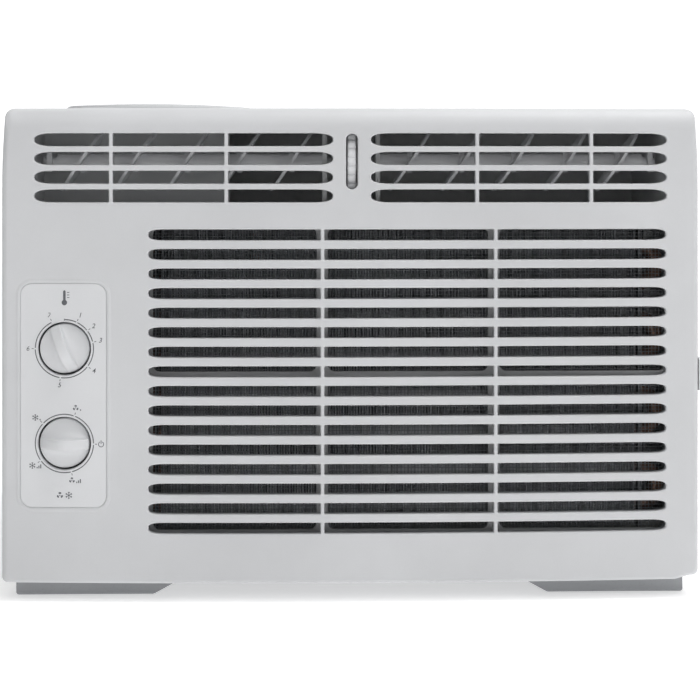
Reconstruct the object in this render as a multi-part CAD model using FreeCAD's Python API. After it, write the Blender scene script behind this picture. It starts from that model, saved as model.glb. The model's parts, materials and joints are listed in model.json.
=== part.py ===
"""Window air conditioner: front panel, filter, knobs, air swing rotor, refrigeration set and chassis.

Millimetres. +Z is up, the room side faces -Y, X = 0 is the middle of the front panel,
Z = 0 is the surface that the base pan's runners stand on.
"""
import os

import FreeCAD
import Part
from FreeCAD import Vector
from math import cos, hypot, pi, radians, sin, sqrt, tan

# ---- overall sizes -------------------------------------------------------------------------
PANEL_WIDTH = 406.4          # 16 inch front
PANEL_TOP_Z = 286.3
PANEL_BOTTOM_Z = 11.0
FRONT_Y = -190.0             # the front panel's most forward line, at X = 0
REAR_Y = 195.0               # rear edge of the cabinet
PANEL_DEPTH = 52.0           # front line to the rear edge of the skirt
PANEL_BOW = 7.6              # how far the panel's side edges fall back behind its middle
PANEL_WALL = 2.4
PANEL_CORNER = 6.0           # radius at the two upper corners
PANEL_FOOT_R = 3.5           # radius at the two lower corners
PANEL_TOP_ROLL = 17.0        # height of the rolled top edge
PANEL_LEAN = 3.0             # how far the upper corners lean inwards
PANEL_LEAN_HEIGHT = 52.0
PANEL_OVERLAP = 5.0          # how far the panel stands out past each side of the cabinet
CABINET_WIDTH = PANEL_WIDTH - 2 * PANEL_OVERLAP
PANEL_RISE = 3.7             # how far the panel stands up past the cabinet's top
CABINET_TOP_Z = PANEL_TOP_Z - PANEL_RISE
CABINET_SHEET = 0.9
CABINET_FRONT_Y = FRONT_Y + PANEL_DEPTH - 10.0
PAN_SHEET = 1.2
PAN_FRONT_Y = FRONT_Y + 25.0
PAN_WALL_HEIGHT = 34.0
PAN_RAISE = 12.0             # height of the pan's middle above its runners
RUNNER_INNER_X = 117.0
RUNNER_SLOPE = 22.0
PAN_BEND = 2.0
FIT_GAP = 0.3                # clearance between pieces that sit beside each other

# ---- discharge grille and its rotor --------------------------------------------------------
TOP_SLOT_COUNT = 4
TOP_SLOT_TOP_Z = 271.6
TOP_SLOT_PITCH = 10.85
TOP_SLOT_HEIGHT = 7.55
TOP_SLOT_OUTER_X = 184.0
TOP_SLOT_INNER_X = 11.0
TOP_RIBS_X = (72.7, 139.5)
GRILLE_RIB = 2.2
GRILLE_DEPTH = 6.5
SLOT_TAPER = 11.7            # length of a slot's elliptical end
WHEEL_SLOT_WIDTH = 6.8
WHEEL_SLOT_HEIGHT = 32.3
ROTOR_Z = 255.2
ROTOR_BACK = 30.0            # rotor axis behind the front line
WHEEL_R = 27.4
WHEEL_WIDTH = 5.0
WHEEL_RIDGES = 24
VANE_COUNT = 5
VANE_PITCH = 30.8
VANE_FIRST_X = 35.0
VANE_R = 17.2
VANE_TILT = 34.5
VANE_THICK = 1.6
ROTOR_SHAFT_R = 4.8
ROTOR_JOURNAL_R = 3.0
ROTOR_END_X = 181.0
ROTOR_PIN = 8.0
ROTOR_JOURNAL_FIT = 0.1      # radial running clearance of the rotor's pins
VANE_BOSS_R = 6.4
VANE_BOSS_WIDTH = 3.0
MID_WALL_X = 14.3            # walls that frame the thumbwheel, inside the duct
MID_WALL = 2.5

# ---- intake grille -------------------------------------------------------------------------
SLOT_COUNT = 16
SLOT_TOP_Z = 215.9
SLOT_PITCH = 11.31
SLOT_HEIGHT = 6.35
SLOT_LEFT_X = -117.7
SLOT_RIGHT_X = 183.6
SLOT_RIBS_X = (-17.05, 83.5)

# ---- control plaque and knobs --------------------------------------------------------------
PLAQUE_LEFT_X = -191.8
PLAQUE_RIGHT_X = -142.0
PLAQUE_LOW_Z = 55.1
PLAQUE_HIGH_Z = 184.5
PLAQUE_CORNER = 6.6
PLAQUE_THICK = 1.4
PLAQUE_PROUD = 0.5
PLAQUE_GAP = 0.15
KNOB_X = -166.3
THERMOSTAT_Z = 146.9
SWITCH_Z = 92.1
KNOB_R = 14.5
KNOB_WELL_GAP = 0.9
KNOB_PROUD = 11.0            # finger ridge above the plaque's face
KNOB_SUNK = 2.5              # the knob's rim below the plaque's face
KNOB_DOME = 5.0
KNOB_CREST_R = 15.0          # the finger ridge's arched top
KNOB_INSET = 8.0
KNOB_RIDGE = 6.4
CONTROL_SHAFT_R = 3.0
CONTROL_PLATE_Y = FRONT_Y + 22.0
CONTROL_SHEET = 1.5
CONTROL_RETURN = 46.0        # depth of the control plate's folded sides
CONTROL_RETURN_SHEET = 1.2
CONTROL_LOW_Z = 40.0
CONTROL_HIGH_Z = 200.0
SHAFT_GRIP = 4.0             # length of a control shaft inside its knob
SHAFT_FLAT = 1.8             # a control shaft's flat from its axis
BUSHING_R = 4.6
KNOB_HUB_R = 6.0

# ---- filter --------------------------------------------------------------------------------
FILTER_BACK = 14.0           # front line to the filter's front face
FILTER_THICK = 4.0
FILTER_LEFT_X = -122.0
FILTER_RIGHT_X = 190.5
FILTER_LOW_Z = 34.0
FILTER_HIGH_Z = 222.5
FILTER_BORDER = 6.0
FILTER_TAB_LOW_Z = 121.0
FILTER_TAB_HIGH_Z = 140.0
FILTER_TAB_REACH = 2.6       # how far the tab stands out of the panel's side
FILTER_SLIDE_GAP = 0.5

# ---- air handling --------------------------------------------------------------------------
AXLE_X = 45.0
AXLE_Z = 122.0
MOTOR_SHAFT_R = 4.0
SHAFT_FIT = 0.05
COIL_LEFT_X = -112.0
COIL_RIGHT_X = 168.0
EVAP_FRONT_Y = FRONT_Y + 24.0
EVAP_DEPTH = 26.0
EVAP_LOW_Z = 40.0
EVAP_ROWS = 8
EVAP_PITCH = 22.0
TUBE_R = 4.76
STUB = 14.0                  # straight tube ends beyond the fins
FIN_THICK = 0.35
FIN_PITCH = 6.0
SCROLL_FRONT_Y = FRONT_Y + 62.0
SCROLL_DEPTH = 74.0
SCROLL_WALL = 4.0
BLOWER_R = 74.0
BLOWER_DEPTH = 58.0
BLOWER_BLADES = 36
BLOWER_FRONT_Y = SCROLL_FRONT_Y + SCROLL_WALL + 3.0
BLOWER_HUB_DEPTH = 18.0
BLOWER_BAND = 11.0           # radial depth of the blades
INLET_STEP = 12.0            # the scroll's inlet is this much smaller in radius than the wheel
DUCT_LOW_Z = 229.0
DUCT_HIGH_Z = 276.0
DUCT_WALL = 3.0
BLANK_RIGHT_X = -73.0        # the duct is closed off behind the vanes left of this
BULKHEAD_Y = SCROLL_FRONT_Y + SCROLL_DEPTH + 2.0
MOTOR_R = 44.0
MOTOR_LENGTH = 66.0
MOTOR_WALL = 2.0
STATOR_LENGTH = 36.0
ROTOR_CORE_R = 21.0
AIR_GAP = 0.6
MOTOR_FRONT_Y = BULKHEAD_Y + 14.0
FAN_Y = 116.0
FAN_DEPTH = 24.0
FAN_R = 96.0
FAN_BLADES = 5
COND_FRONT_Y = 152.0
COND_DEPTH = 32.0
COND_LOW_Z = 20.0
COND_ROWS = 10
COND_PITCH = 23.0
COND_LEFT_X = -168.0
COND_RIGHT_X = 168.0
GUARD_WIRE_R = 1.5
GUARD_LOW_Z = 36.0
GUARD_HIGH_Z = 266.0
GUARD_ROWS = 8
GUARD_COLUMNS = 12

# ---- compressor ----------------------------------------------------------------------------
COMP_X = -130.0
COMP_Y = 42.0
COMP_R = 49.0
COMP_LOW_Z = 30.0
COMP_HEIGHT = 176.0
COMP_WALL = 3.2
COMP_CAP = 40.0              # height of the welded upper cap
COMP_CORE_HEIGHT = 100.0
COMP_BOLT_R = 62.0
PIPE_Y = 112.0
DRIER_X = -150.0
DRIER_LOW_Z = 68.0
DRIER_LENGTH = 84.0
LINE_R = 4.0
SMALL_LINE_R = 3.0
DRIER_R = 9.0
ACCUMULATOR_R = 16.0
ACCUMULATOR_LOW_Z = 74.0
ACCUMULATOR_HEIGHT = 96.0
CAPILLARY_R = 1.3
HARNESS_Z = 212.0
LINE_X = COMP_X + COMP_R + 19.0
LINE_Z = 204.0
ACCUMULATOR_Y = COMP_Y - 36.0

# ---- chassis details -----------------------------------------------------------------------
DRAIN_R = 7.0
DRAIN_X = 0.0
DRAIN_Y = 140.0
CURTAIN_HOLE_R = 1.8
CURTAIN_HOLE_Z = (70.0, 220.0)
CURTAIN_HOLE_Y = CABINET_FRONT_Y + 22.0
RAIL_HOLE_R = 2.1
RAIL_HOLE_X = 120.0
RAIL_HOLE_Y = CABINET_FRONT_Y + 22.0
GLAND_R = 5.0
GLAND_PROUD = 0.8
GLAND_Z = 62.0
GLAND_Y = FRONT_Y + PANEL_DEPTH - 24.0
SCREW_YS = (-120.0, 30.0, 176.0)
SCREW_Z = 24.0
SCREW_HOLE_R = 2.2
REAR_WINDOW_TOP_Z = 258.0
CABINET_BEND = 6.0
LOUVRE_SLOT = 5.0            # height of a louvre's slot
LOUVRE_PITCH = 14.0
SIDE_LOUVRE_LENGTH = 44.0
SIDE_LOUVRE_ROWS = 12
SIDE_LOUVRE_LOW_Z = 66.0
SIDE_LOUVRE_YS = (20.0, 72.0, 124.0)
TOP_LOUVRE_LENGTH = 76.0
TOP_LOUVRE_ROWS = 5
TOP_LOUVRE_FRONT_Y = 84.0
TOP_LOUVRE_XS = (-168.0, -82.0, 4.0, 90.0)
EMBOSS_LEFT_X = -174.0
EMBOSS_RIGHT_X = -62.0
EMBOSS_FRONT_Y = -112.0
EMBOSS_DEPTH = 88.0
EMBOSS_HEIGHT = 7.4
EMBOSS_PEAK_X = -137.0
EMBOSS_CROWN_R = 1400.0
THERMOSTAT_POINTER = -23.0   # clockwise from up, seen from the front
SWITCH_POINTER = 91.0

X_AXIS = Vector(1, 0, 0)
Y_AXIS = Vector(0, 1, 0)
Z_AXIS = Vector(0, 0, 1)
HALF_W = PANEL_WIDTH / 2
HALF_CAB = CABINET_WIDTH / 2
PAN_HALF = HALF_CAB - CABINET_SHEET - FIT_GAP
PAN_REAR_Y = REAR_Y - CABINET_SHEET - FIT_GAP
ROTOR_Y = FRONT_Y + ROTOR_BACK
DUCT_HALF = HALF_W - 15.0
FILTER_Y = FRONT_Y + FILTER_BACK


# ---- shape helpers -------------------------------------------------------------------------
def box(x0, x1, y0, y1, z0, z1):
    return Part.makeBox(x1 - x0, y1 - y0, z1 - z0, Vector(x0, y0, z0))


def cylinder(radius, start, axis, length):
    return Part.makeCylinder(radius, length, Vector(*start), Vector(*axis))


def ring(outer, inner, start, axis, length):
    return cylinder(outer, start, axis, length).cut(cylinder(inner, start, axis, length))


def join(shapes):
    """One solid from touching shapes."""
    first = shapes[0]
    return first.fuse(shapes[1:]).removeSplitter() if len(shapes) > 1 else first


def group(shapes):
    """Separate solids kept in one node."""
    return Part.makeCompound(shapes)


def loop_face(edges):
    return Part.Face(Part.Wire(edges))


def polygon(points):
    return Part.Face(Part.makePolygon([Vector(*p) for p in points + points[:1]]))


def rounded_rect_y(x0, x1, z0, z1, r, y):
    """Rounded rectangle in the XZ plane at one Y."""
    k = r * (1 - sqrt(0.5))
    corners = (
        ((x0, z0 + r), (x0 + k, z0 + k), (x0 + r, z0)),
        ((x1 - r, z0), (x1 - k, z0 + k), (x1, z0 + r)),
        ((x1, z1 - r), (x1 - k, z1 - k), (x1 - r, z1)),
        ((x0 + r, z1), (x0 + k, z1 - k), (x0, z1 - r)),
    )
    edges = []
    for i, (a, b, c) in enumerate(corners):
        nxt = corners[(i + 1) % 4][0]
        edges.append(Part.Arc(*[Vector(p[0], y, p[1]) for p in (a, b, c)]).toShape())
        if hypot(nxt[0] - c[0], nxt[1] - c[1]) > 1e-6:
            edges.append(Part.LineSegment(Vector(c[0], y, c[1]), Vector(nxt[0], y, nxt[1])).toShape())
    return loop_face(edges)


def slot_face(x0, x1, z0, z1, taper, y, left=True, right=True):
    """Slot in the XZ plane whose ends are half ellipses, `taper` long, or straight."""
    zc, h = (z0 + z1) / 2, (z1 - z0) / 2
    xa = x0 + taper if left else x0
    xb = x1 - taper if right else x1
    edges = [Part.LineSegment(Vector(xa, y, z0), Vector(xb, y, z0)).toShape()]
    for is_round, x, side in ((right, xb, 1), (left, xa, -1)):
        if is_round:
            centre = Vector(x, y, zc)
            ellipse = Part.Ellipse(centre + Vector(side * taper, 0, 0), centre + Vector(0, 0, h), centre)
            points = [centre + Vector(side * taper * sin(t), 0, -side * h * cos(t))
                      for t in (0, pi / 2, pi)]
            params = [ellipse.parameter(p) for p in points]
            arc = Part.ArcOfEllipse(ellipse, params[0], params[2])
            if arc.value((arc.FirstParameter + arc.LastParameter) / 2).distanceToPoint(points[1]) > 1:
                arc = Part.ArcOfEllipse(ellipse, params[2], params[0])
            edges.append(arc.toShape())
        else:
            edges.append(Part.LineSegment(Vector(x, y, z0), Vector(x, y, z1)).toShape())
    edges.append(Part.LineSegment(Vector(xb, y, z1), Vector(xa, y, z1)).toShape())
    return loop_face(Part.__sortEdges__(edges))


def tube_path(points, bend):
    """Straight runs joined by tangent arcs through a list of points."""
    pts = [Vector(*p) for p in points]
    edges, last = [], pts[0]
    for before, here, after in zip(pts, pts[1:], pts[2:]):
        a, b = (before - here).normalize(), (after - here).normalize()
        half = a.getAngle(b) / 2
        setback = bend / tan(half)
        p, q = here + a * setback, here + b * setback
        centre = here + (a + b).normalize() * (bend / sin(half))
        middle = centre + (here - centre).normalize() * bend
        if last.distanceToPoint(p) > 1e-6:
            edges.append(Part.LineSegment(last, p).toShape())
        edges.append(Part.Arc(p, middle, q).toShape())
        last = q
    edges.append(Part.LineSegment(last, pts[-1]).toShape())
    return Part.Wire(edges)


def tube(points, radius, bend, bore=0.0):
    """Round tube or rod along a bent path."""
    path = tube_path(points, bend)
    start, direction = Vector(*points[0]), Vector(*points[1]) - Vector(*points[0])
    solids = []
    for r in (radius, bore):
        if r > 0:
            circle = Part.Wire(Part.makeCircle(r, start, direction))
            solids.append(path.makePipeShell([circle], True, False))
    return solids[0].cut(solids[1]) if bore > 0 else solids[0]


def front_y(x):
    """Y of the bowed front surface at one X."""
    radius = (HALF_W ** 2 + PANEL_BOW ** 2) / (2 * PANEL_BOW)
    return FRONT_Y + radius - sqrt(radius ** 2 - x ** 2)


def bow_layer(depth0, depth1, x0, x1, z0, z1):
    """Solid between two copies of the bowed front surface, `depth` behind it."""
    xm = (x0 + x1) / 2
    front = [Vector(x, front_y(x) + depth0, z0) for x in (x0, xm, x1)]
    back = [Vector(x, front_y(x) + depth1, z0) for x in (x1, xm, x0)]
    edges = [
        Part.Arc(*front).toShape(),
        Part.LineSegment(front[2], back[0]).toShape(),
        Part.Arc(*back).toShape(),
        Part.LineSegment(back[2], front[0]).toShape(),
    ]
    return loop_face(edges).extrude(Vector(0, 0, z1 - z0))


# ---- front panel ---------------------------------------------------------------------------
def panel_body(inset, back_y):
    """The panel's outer form, or the form of its hollow when inset is the wall."""
    hw, top, low = HALF_W - inset, PANEL_TOP_Z - inset, PANEL_BOTTOM_Z + inset
    lean = PANEL_LEAN if inset == 0 else PANEL_LEAN - 0.8
    lean_height, corner, foot_r = PANEL_LEAN_HEIGHT, PANEL_CORNER, PANEL_FOOT_R
    y0 = FRONT_Y - 20
    edges = []

    def add(*pts):
        vectors = [Vector(p[0], y0, p[1]) for p in pts]
        maker = Part.Arc if len(vectors) == 3 else Part.LineSegment
        edges.append(maker(*vectors).toShape())

    k = 1 - sqrt(0.5)
    add((-hw + foot_r, low), (hw - foot_r, low))
    add((hw - foot_r, low), (hw - foot_r * k, low + foot_r * k), (hw, low + foot_r))
    add((hw, low + foot_r), (hw, top - lean_height))
    add((hw, top - lean_height), (hw - lean / 4, top - lean_height / 2), (hw - lean, top - corner))
    add((hw - lean, top - corner), (hw - lean - corner * k, top - corner * k), (hw - lean - corner, top))
    add((hw - lean - corner, top), (-hw + lean + corner, top))
    add((-hw + lean + corner, top), (-hw + lean + corner * k, top - corner * k), (-hw + lean, top - corner))
    add((-hw + lean, top - corner), (-hw + lean / 4, top - lean_height / 2), (-hw, top - lean_height))
    add((-hw, top - lean_height), (-hw, low + foot_r))
    add((-hw, low + foot_r), (-hw + foot_r * k, low + foot_r * k), (-hw + foot_r, low))
    outline = loop_face(edges).extrude(Vector(0, back_y - y0, 0))
    plan = bow_layer(inset, back_y - FRONT_Y, -HALF_W - 1, HALF_W + 1, low - 1, top + 1)
    plan = plan.common(box(-HALF_W - 2, HALF_W + 2, FRONT_Y - 5, back_y, low - 2, top + 2))
    roll = PANEL_TOP_ROLL
    y = FRONT_Y + inset
    profile = [
        Part.LineSegment(Vector(-HALF_W - 2, y - 9, low - 2), Vector(-HALF_W - 2, y - 9, top - roll)),
        Part.LineSegment(Vector(-HALF_W - 2, y - 9, top - roll), Vector(-HALF_W - 2, y, top - roll)),
        Part.Arc(Vector(-HALF_W - 2, y, top - roll), Vector(-HALF_W - 2, y + 2.6, top - roll * 0.36),
                 Vector(-HALF_W - 2, y + 11, top)),
        Part.LineSegment(Vector(-HALF_W - 2, y + 11, top), Vector(-HALF_W - 2, back_y + 5, top)),
        Part.LineSegment(Vector(-HALF_W - 2, back_y + 5, top), Vector(-HALF_W - 2, back_y + 5, low - 2)),
        Part.LineSegment(Vector(-HALF_W - 2, back_y + 5, low - 2), Vector(-HALF_W - 2, y - 9, low - 2)),
    ]
    side = loop_face([e.toShape() for e in profile]).extrude(Vector(PANEL_WIDTH + 4, 0, 0))
    return outline.common(plan).common(side)


def slot_runs(x0, x1, ribs):
    """The stretches of one slot between its ends and its ribs."""
    cuts = [x0]
    for rib in ribs:
        cuts += [rib - GRILLE_RIB / 2, rib + GRILLE_RIB / 2]
    cuts.append(x1)
    return list(zip(cuts[0::2], cuts[1::2]))


def grille_cutters():
    y, reach = FRONT_Y - 2, PANEL_BOW + GRILLE_DEPTH + 6
    cutters = []
    for i in range(TOP_SLOT_COUNT):
        z1 = TOP_SLOT_TOP_Z - i * TOP_SLOT_PITCH
        z0 = z1 - TOP_SLOT_HEIGHT
        for side in (-1, 1):
            ends = sorted((side * TOP_SLOT_OUTER_X, side * TOP_SLOT_INNER_X))
            runs = slot_runs(ends[0], ends[1], sorted(side * r for r in TOP_RIBS_X))
            for n, (a, b) in enumerate(runs):
                face = slot_face(a, b, z0, z1, SLOT_TAPER, y, n == 0, n == len(runs) - 1)
                cutters.append(face.extrude(Vector(0, reach, 0)))
    for i in range(SLOT_COUNT):
        z1 = SLOT_TOP_Z - i * SLOT_PITCH
        runs = slot_runs(SLOT_LEFT_X, SLOT_RIGHT_X, SLOT_RIBS_X)
        for n, (a, b) in enumerate(runs):
            face = slot_face(a, b, z1 - SLOT_HEIGHT, z1, SLOT_TAPER, y, n == 0, n == len(runs) - 1)
            cutters.append(face.extrude(Vector(0, reach, 0)))
    wheel_low = ROTOR_Z - WHEEL_SLOT_HEIGHT / 2
    wheel = rounded_rect_y(-WHEEL_SLOT_WIDTH / 2, WHEEL_SLOT_WIDTH / 2, wheel_low,
                           wheel_low + WHEEL_SLOT_HEIGHT, WHEEL_SLOT_WIDTH / 2, y)
    cutters.append(wheel.extrude(Vector(0, reach, 0)))
    return cutters


def front_panel():
    back_y = FRONT_Y + PANEL_DEPTH
    shell = panel_body(0, back_y).cut(panel_body(PANEL_WALL, back_y + 1))
    slot_low = SLOT_TOP_Z - (SLOT_COUNT - 1) * SLOT_PITCH - SLOT_HEIGHT
    top_low = TOP_SLOT_TOP_Z - (TOP_SLOT_COUNT - 1) * TOP_SLOT_PITCH - TOP_SLOT_HEIGHT
    pads = [
        bow_layer(PANEL_WALL - 0.5, GRILLE_DEPTH, SLOT_LEFT_X - 3, SLOT_RIGHT_X + 3,
                  slot_low - 3, SLOT_TOP_Z + 3),
        bow_layer(PANEL_WALL - 0.5, GRILLE_DEPTH, -TOP_SLOT_OUTER_X - 3, TOP_SLOT_OUTER_X + 3,
                  top_low - 3, TOP_SLOT_TOP_Z + 3),
    ]
    # filter guide rails above and below the filter, open at the right-hand side
    rail_y1 = FILTER_Y + FILTER_THICK + FILTER_SLIDE_GAP
    for z0, z1 in ((FILTER_HIGH_Z + FILTER_SLIDE_GAP, FILTER_HIGH_Z + 3.0),
                   (FILTER_LOW_Z - 3.0, FILTER_LOW_Z - FILTER_SLIDE_GAP)):
        pads.append(bow_layer(PANEL_WALL - 0.5, rail_y1 - FRONT_Y, FILTER_LEFT_X, FILTER_RIGHT_X - 4, z0, z1)
                    .common(box(-HALF_W, HALF_W, FRONT_Y, rail_y1, z0, z1)))
    shell = shell.fuse(pads)
    cutters = grille_cutters()
    cutters.append(bow_layer(-1, PLAQUE_THICK - PLAQUE_PROUD, PLAQUE_LEFT_X - 2, PLAQUE_RIGHT_X + 2,
                             PLAQUE_LOW_Z - 2, PLAQUE_HIGH_Z + 2).common(plaque_prism(PLAQUE_GAP)))
    for z in (THERMOSTAT_Z, SWITCH_Z):
        cutters.append(cylinder(KNOB_R + KNOB_WELL_GAP, (KNOB_X, FRONT_Y - 5, z), (0, 1, 0), 20))
    cutters.append(box(HALF_W - 12, HALF_W + 2, FILTER_Y - FILTER_SLIDE_GAP,
                       FILTER_Y + FILTER_THICK + FILTER_SLIDE_GAP,
                       FILTER_LOW_Z - FILTER_SLIDE_GAP, FILTER_HIGH_Z + FILTER_SLIDE_GAP))
    pinch = box(HALF_W - 1.2, HALF_W + 2, FILTER_Y - 4, FILTER_Y + FILTER_THICK + 4,
                FILTER_TAB_LOW_Z - 5, FILTER_TAB_HIGH_Z + 5)
    cutters.append(pinch)
    cutters.append(cylinder(GLAND_R + 2.5, (-HALF_W - 2, GLAND_Y, GLAND_Z), (1, 0, 0), 6))
    cutters.append(box(-HALF_CAB - 0.8, HALF_CAB + 0.8, PAN_FRONT_Y - 1, back_y + 2,
                       PANEL_BOTTOM_Z - 2, PANEL_BOTTOM_Z + PANEL_WALL + 0.2))
    return shell.cut(cutters).removeSplitter()


def plaque_prism(grow):
    face = rounded_rect_y(PLAQUE_LEFT_X - grow, PLAQUE_RIGHT_X + grow, PLAQUE_LOW_Z - grow,
                          PLAQUE_HIGH_Z + grow, PLAQUE_CORNER + grow, FRONT_Y - 5)
    return face.extrude(Vector(0, 30, 0))


def control_plaque():
    plate = bow_layer(-PLAQUE_PROUD, PLAQUE_THICK - PLAQUE_PROUD - 0.05, PLAQUE_LEFT_X - 2,
                      PLAQUE_RIGHT_X + 2, PLAQUE_LOW_Z - 2, PLAQUE_HIGH_Z + 2).common(plaque_prism(0))
    holes = [cylinder(KNOB_R + KNOB_WELL_GAP, (KNOB_X, FRONT_Y - 5, z), (0, 1, 0), 30)
             for z in (THERMOSTAT_Z, SWITCH_Z)]
    return plate.cut(holes)


def knob(z, pointer):
    """Domed knob sunk in its well, with a finger ridge; `pointer` is clockwise from up."""
    face_y = front_y(KNOB_X)
    rim_y, back_y = face_y + KNOB_SUNK, face_y + KNOB_INSET
    sphere_r = (KNOB_R ** 2 + KNOB_DOME ** 2) / (2 * KNOB_DOME)
    skirt = cylinder(KNOB_R, (KNOB_X, rim_y - KNOB_DOME, z), (0, 1, 0), back_y - rim_y + KNOB_DOME)
    dome = Part.makeSphere(sphere_r, Vector(KNOB_X, rim_y - KNOB_DOME + sphere_r, z))
    body = skirt.common(dome.fuse(cylinder(KNOB_R, (KNOB_X, rim_y, z), (0, 1, 0), back_y - rim_y)))
    half, reach = KNOB_RIDGE / 2, KNOB_R - 1.2
    ridge = rounded_rect_y(KNOB_X - half, KNOB_X + half, z - reach, z + reach, half - 0.1,
                           face_y - KNOB_PROUD)
    ridge = ridge.extrude(Vector(0, KNOB_PROUD + KNOB_SUNK, 0))
    ridge = ridge.common(cylinder(KNOB_CREST_R, (KNOB_X - 20, face_y - KNOB_PROUD + KNOB_CREST_R, z),
                                  (1, 0, 0), 40))
    groove = box(KNOB_X - 0.6, KNOB_X + 0.6, face_y - 20, face_y - KNOB_PROUD + 0.8, z + 2.0, z + KNOB_R)
    hub = cylinder(KNOB_HUB_R, (KNOB_X, back_y - 0.5, z), (0, 1, 0), 6.0)
    bore = cylinder(CONTROL_SHAFT_R, (KNOB_X, back_y - SHAFT_GRIP, z), (0, 1, 0), 20)
    flat = box(KNOB_X - 5, KNOB_X + 5, back_y - 5, back_y + 12, z - 5, z - SHAFT_FLAT)
    shape = join([body, ridge, hub]).cut([groove, bore.cut(flat)])
    shape.rotate(Vector(KNOB_X, 0, z), Y_AXIS, pointer)
    return shape


def control_shaft(z, pointer, body_depth):
    """D shaft from inside its knob into the control's body."""
    back_y = front_y(KNOB_X) + KNOB_INSET
    start, end = back_y - SHAFT_GRIP, CONTROL_PLATE_Y + body_depth
    rod = cylinder(CONTROL_SHAFT_R - 0.02, (KNOB_X, start, z), (0, 1, 0), end - start)
    flat = box(KNOB_X - 5, KNOB_X + 5, start - 1, back_y + 9, z - 5, z - SHAFT_FLAT + 0.02)
    shape = rod.cut(flat)
    shape.rotate(Vector(KNOB_X, 0, z), Y_AXIS, pointer)
    return shape


def control_body(z, half, depth, bushing):
    """Thermostat or switch body behind the control plate, with its threaded bushing."""
    y0 = CONTROL_PLATE_Y + CONTROL_SHEET
    case = rounded_rect_y(KNOB_X - half, KNOB_X + half, z - half, z + half, 3, y0)
    case = case.extrude(Vector(0, depth, 0))
    neck = cylinder(BUSHING_R, (KNOB_X, y0 - bushing, z), (0, 1, 0), bushing)
    y1 = y0 + depth
    tags = [box(KNOB_X + dx - 3.2, KNOB_X + dx + 3.2, y1, y1 + 7, z + dz - 0.4, z + dz + 0.4)
            for dx, dz in ((-7, 7), (7, 7), (-7, -7), (7, -7))]
    hole = cylinder(CONTROL_SHAFT_R + SHAFT_FIT, (KNOB_X, y0 - bushing - 1, z), (0, 1, 0),
                    bushing + depth - 1)
    return join([case, neck] + tags).cut(hole)


def control_plate():
    """Steel plate behind the plaque, folded back along its four edges."""
    y0, y1, t = CONTROL_PLATE_Y, CONTROL_PLATE_Y + CONTROL_RETURN, CONTROL_RETURN_SHEET
    x0, x1 = -HALF_CAB + 4, COIL_LEFT_X - 22
    z0, z1 = CONTROL_LOW_Z, CONTROL_HIGH_Z
    plate = box(x0, x1, y0, y0 + CONTROL_SHEET, z0, z1)
    sides = [box(x0, x0 + t, y0, y1, z0, z1), box(x1 - t, x1, y0, y1, z0, z1),
             box(x0, x1, y0, y1, z0, z0 + t), box(x0, x1, y0, y1, z1 - t, z1)]
    holes = [cylinder(BUSHING_R + FIT_GAP, (KNOB_X, y0 - 1, z), (0, 1, 0), 5)
             for z in (THERMOSTAT_Z, SWITCH_Z)]
    holes.append(cylinder(GLAND_R + 3, (x0 - 1, GLAND_Y, GLAND_Z), (1, 0, 0), 4))
    return join([plate] + sides).cut(holes)


# ---- filter --------------------------------------------------------------------------------
def filter_windows():
    slot8 = SLOT_TOP_Z - 7.6 * SLOT_PITCH
    xs = [FILTER_LEFT_X + FILTER_BORDER] + [v for r in SLOT_RIBS_X for v in (r - 3.3, r + 3.3)]
    xs.append(FILTER_RIGHT_X - FILTER_BORDER)
    zs = [FILTER_LOW_Z + FILTER_BORDER, slot8 - 2.5, slot8 + 2.5, FILTER_HIGH_Z - FILTER_BORDER]
    return [(xs[i], xs[i + 1], zs[j], zs[j + 1]) for i in (0, 2, 4) for j in (0, 2)]


def filter_frame():
    y0, y1 = FILTER_Y, FILTER_Y + FILTER_THICK
    frame = box(FILTER_LEFT_X, FILTER_RIGHT_X, y0, y1, FILTER_LOW_Z, FILTER_HIGH_Z)
    tab = box(FILTER_RIGHT_X - 1, HALF_W + FILTER_TAB_REACH, y0, y1, FILTER_TAB_LOW_Z, FILTER_TAB_HIGH_Z)
    grip = box(HALF_W + 0.6, HALF_W + FILTER_TAB_REACH, y0 - 3.0, y1 + 3.0,
               FILTER_TAB_LOW_Z, FILTER_TAB_HIGH_Z)
    windows = [rounded_rect_y(*w, 4.0, y0 - 1).extrude(Vector(0, FILTER_THICK + 2, 0))
               for w in filter_windows()]
    seat = box(FILTER_LEFT_X + 3, FILTER_RIGHT_X - 3, y1 - 1.0, y1 + 1, FILTER_LOW_Z + 3, FILTER_HIGH_Z - 3)
    return join([frame, tab, grip]).cut(windows + [seat])


def filter_mesh():
    y1 = FILTER_Y + FILTER_THICK
    return box(FILTER_LEFT_X + 3.1, FILTER_RIGHT_X - 3.1, y1 - 0.9, y1 - 0.1,
               FILTER_LOW_Z + 3.1, FILTER_HIGH_Z - 3.1)


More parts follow.
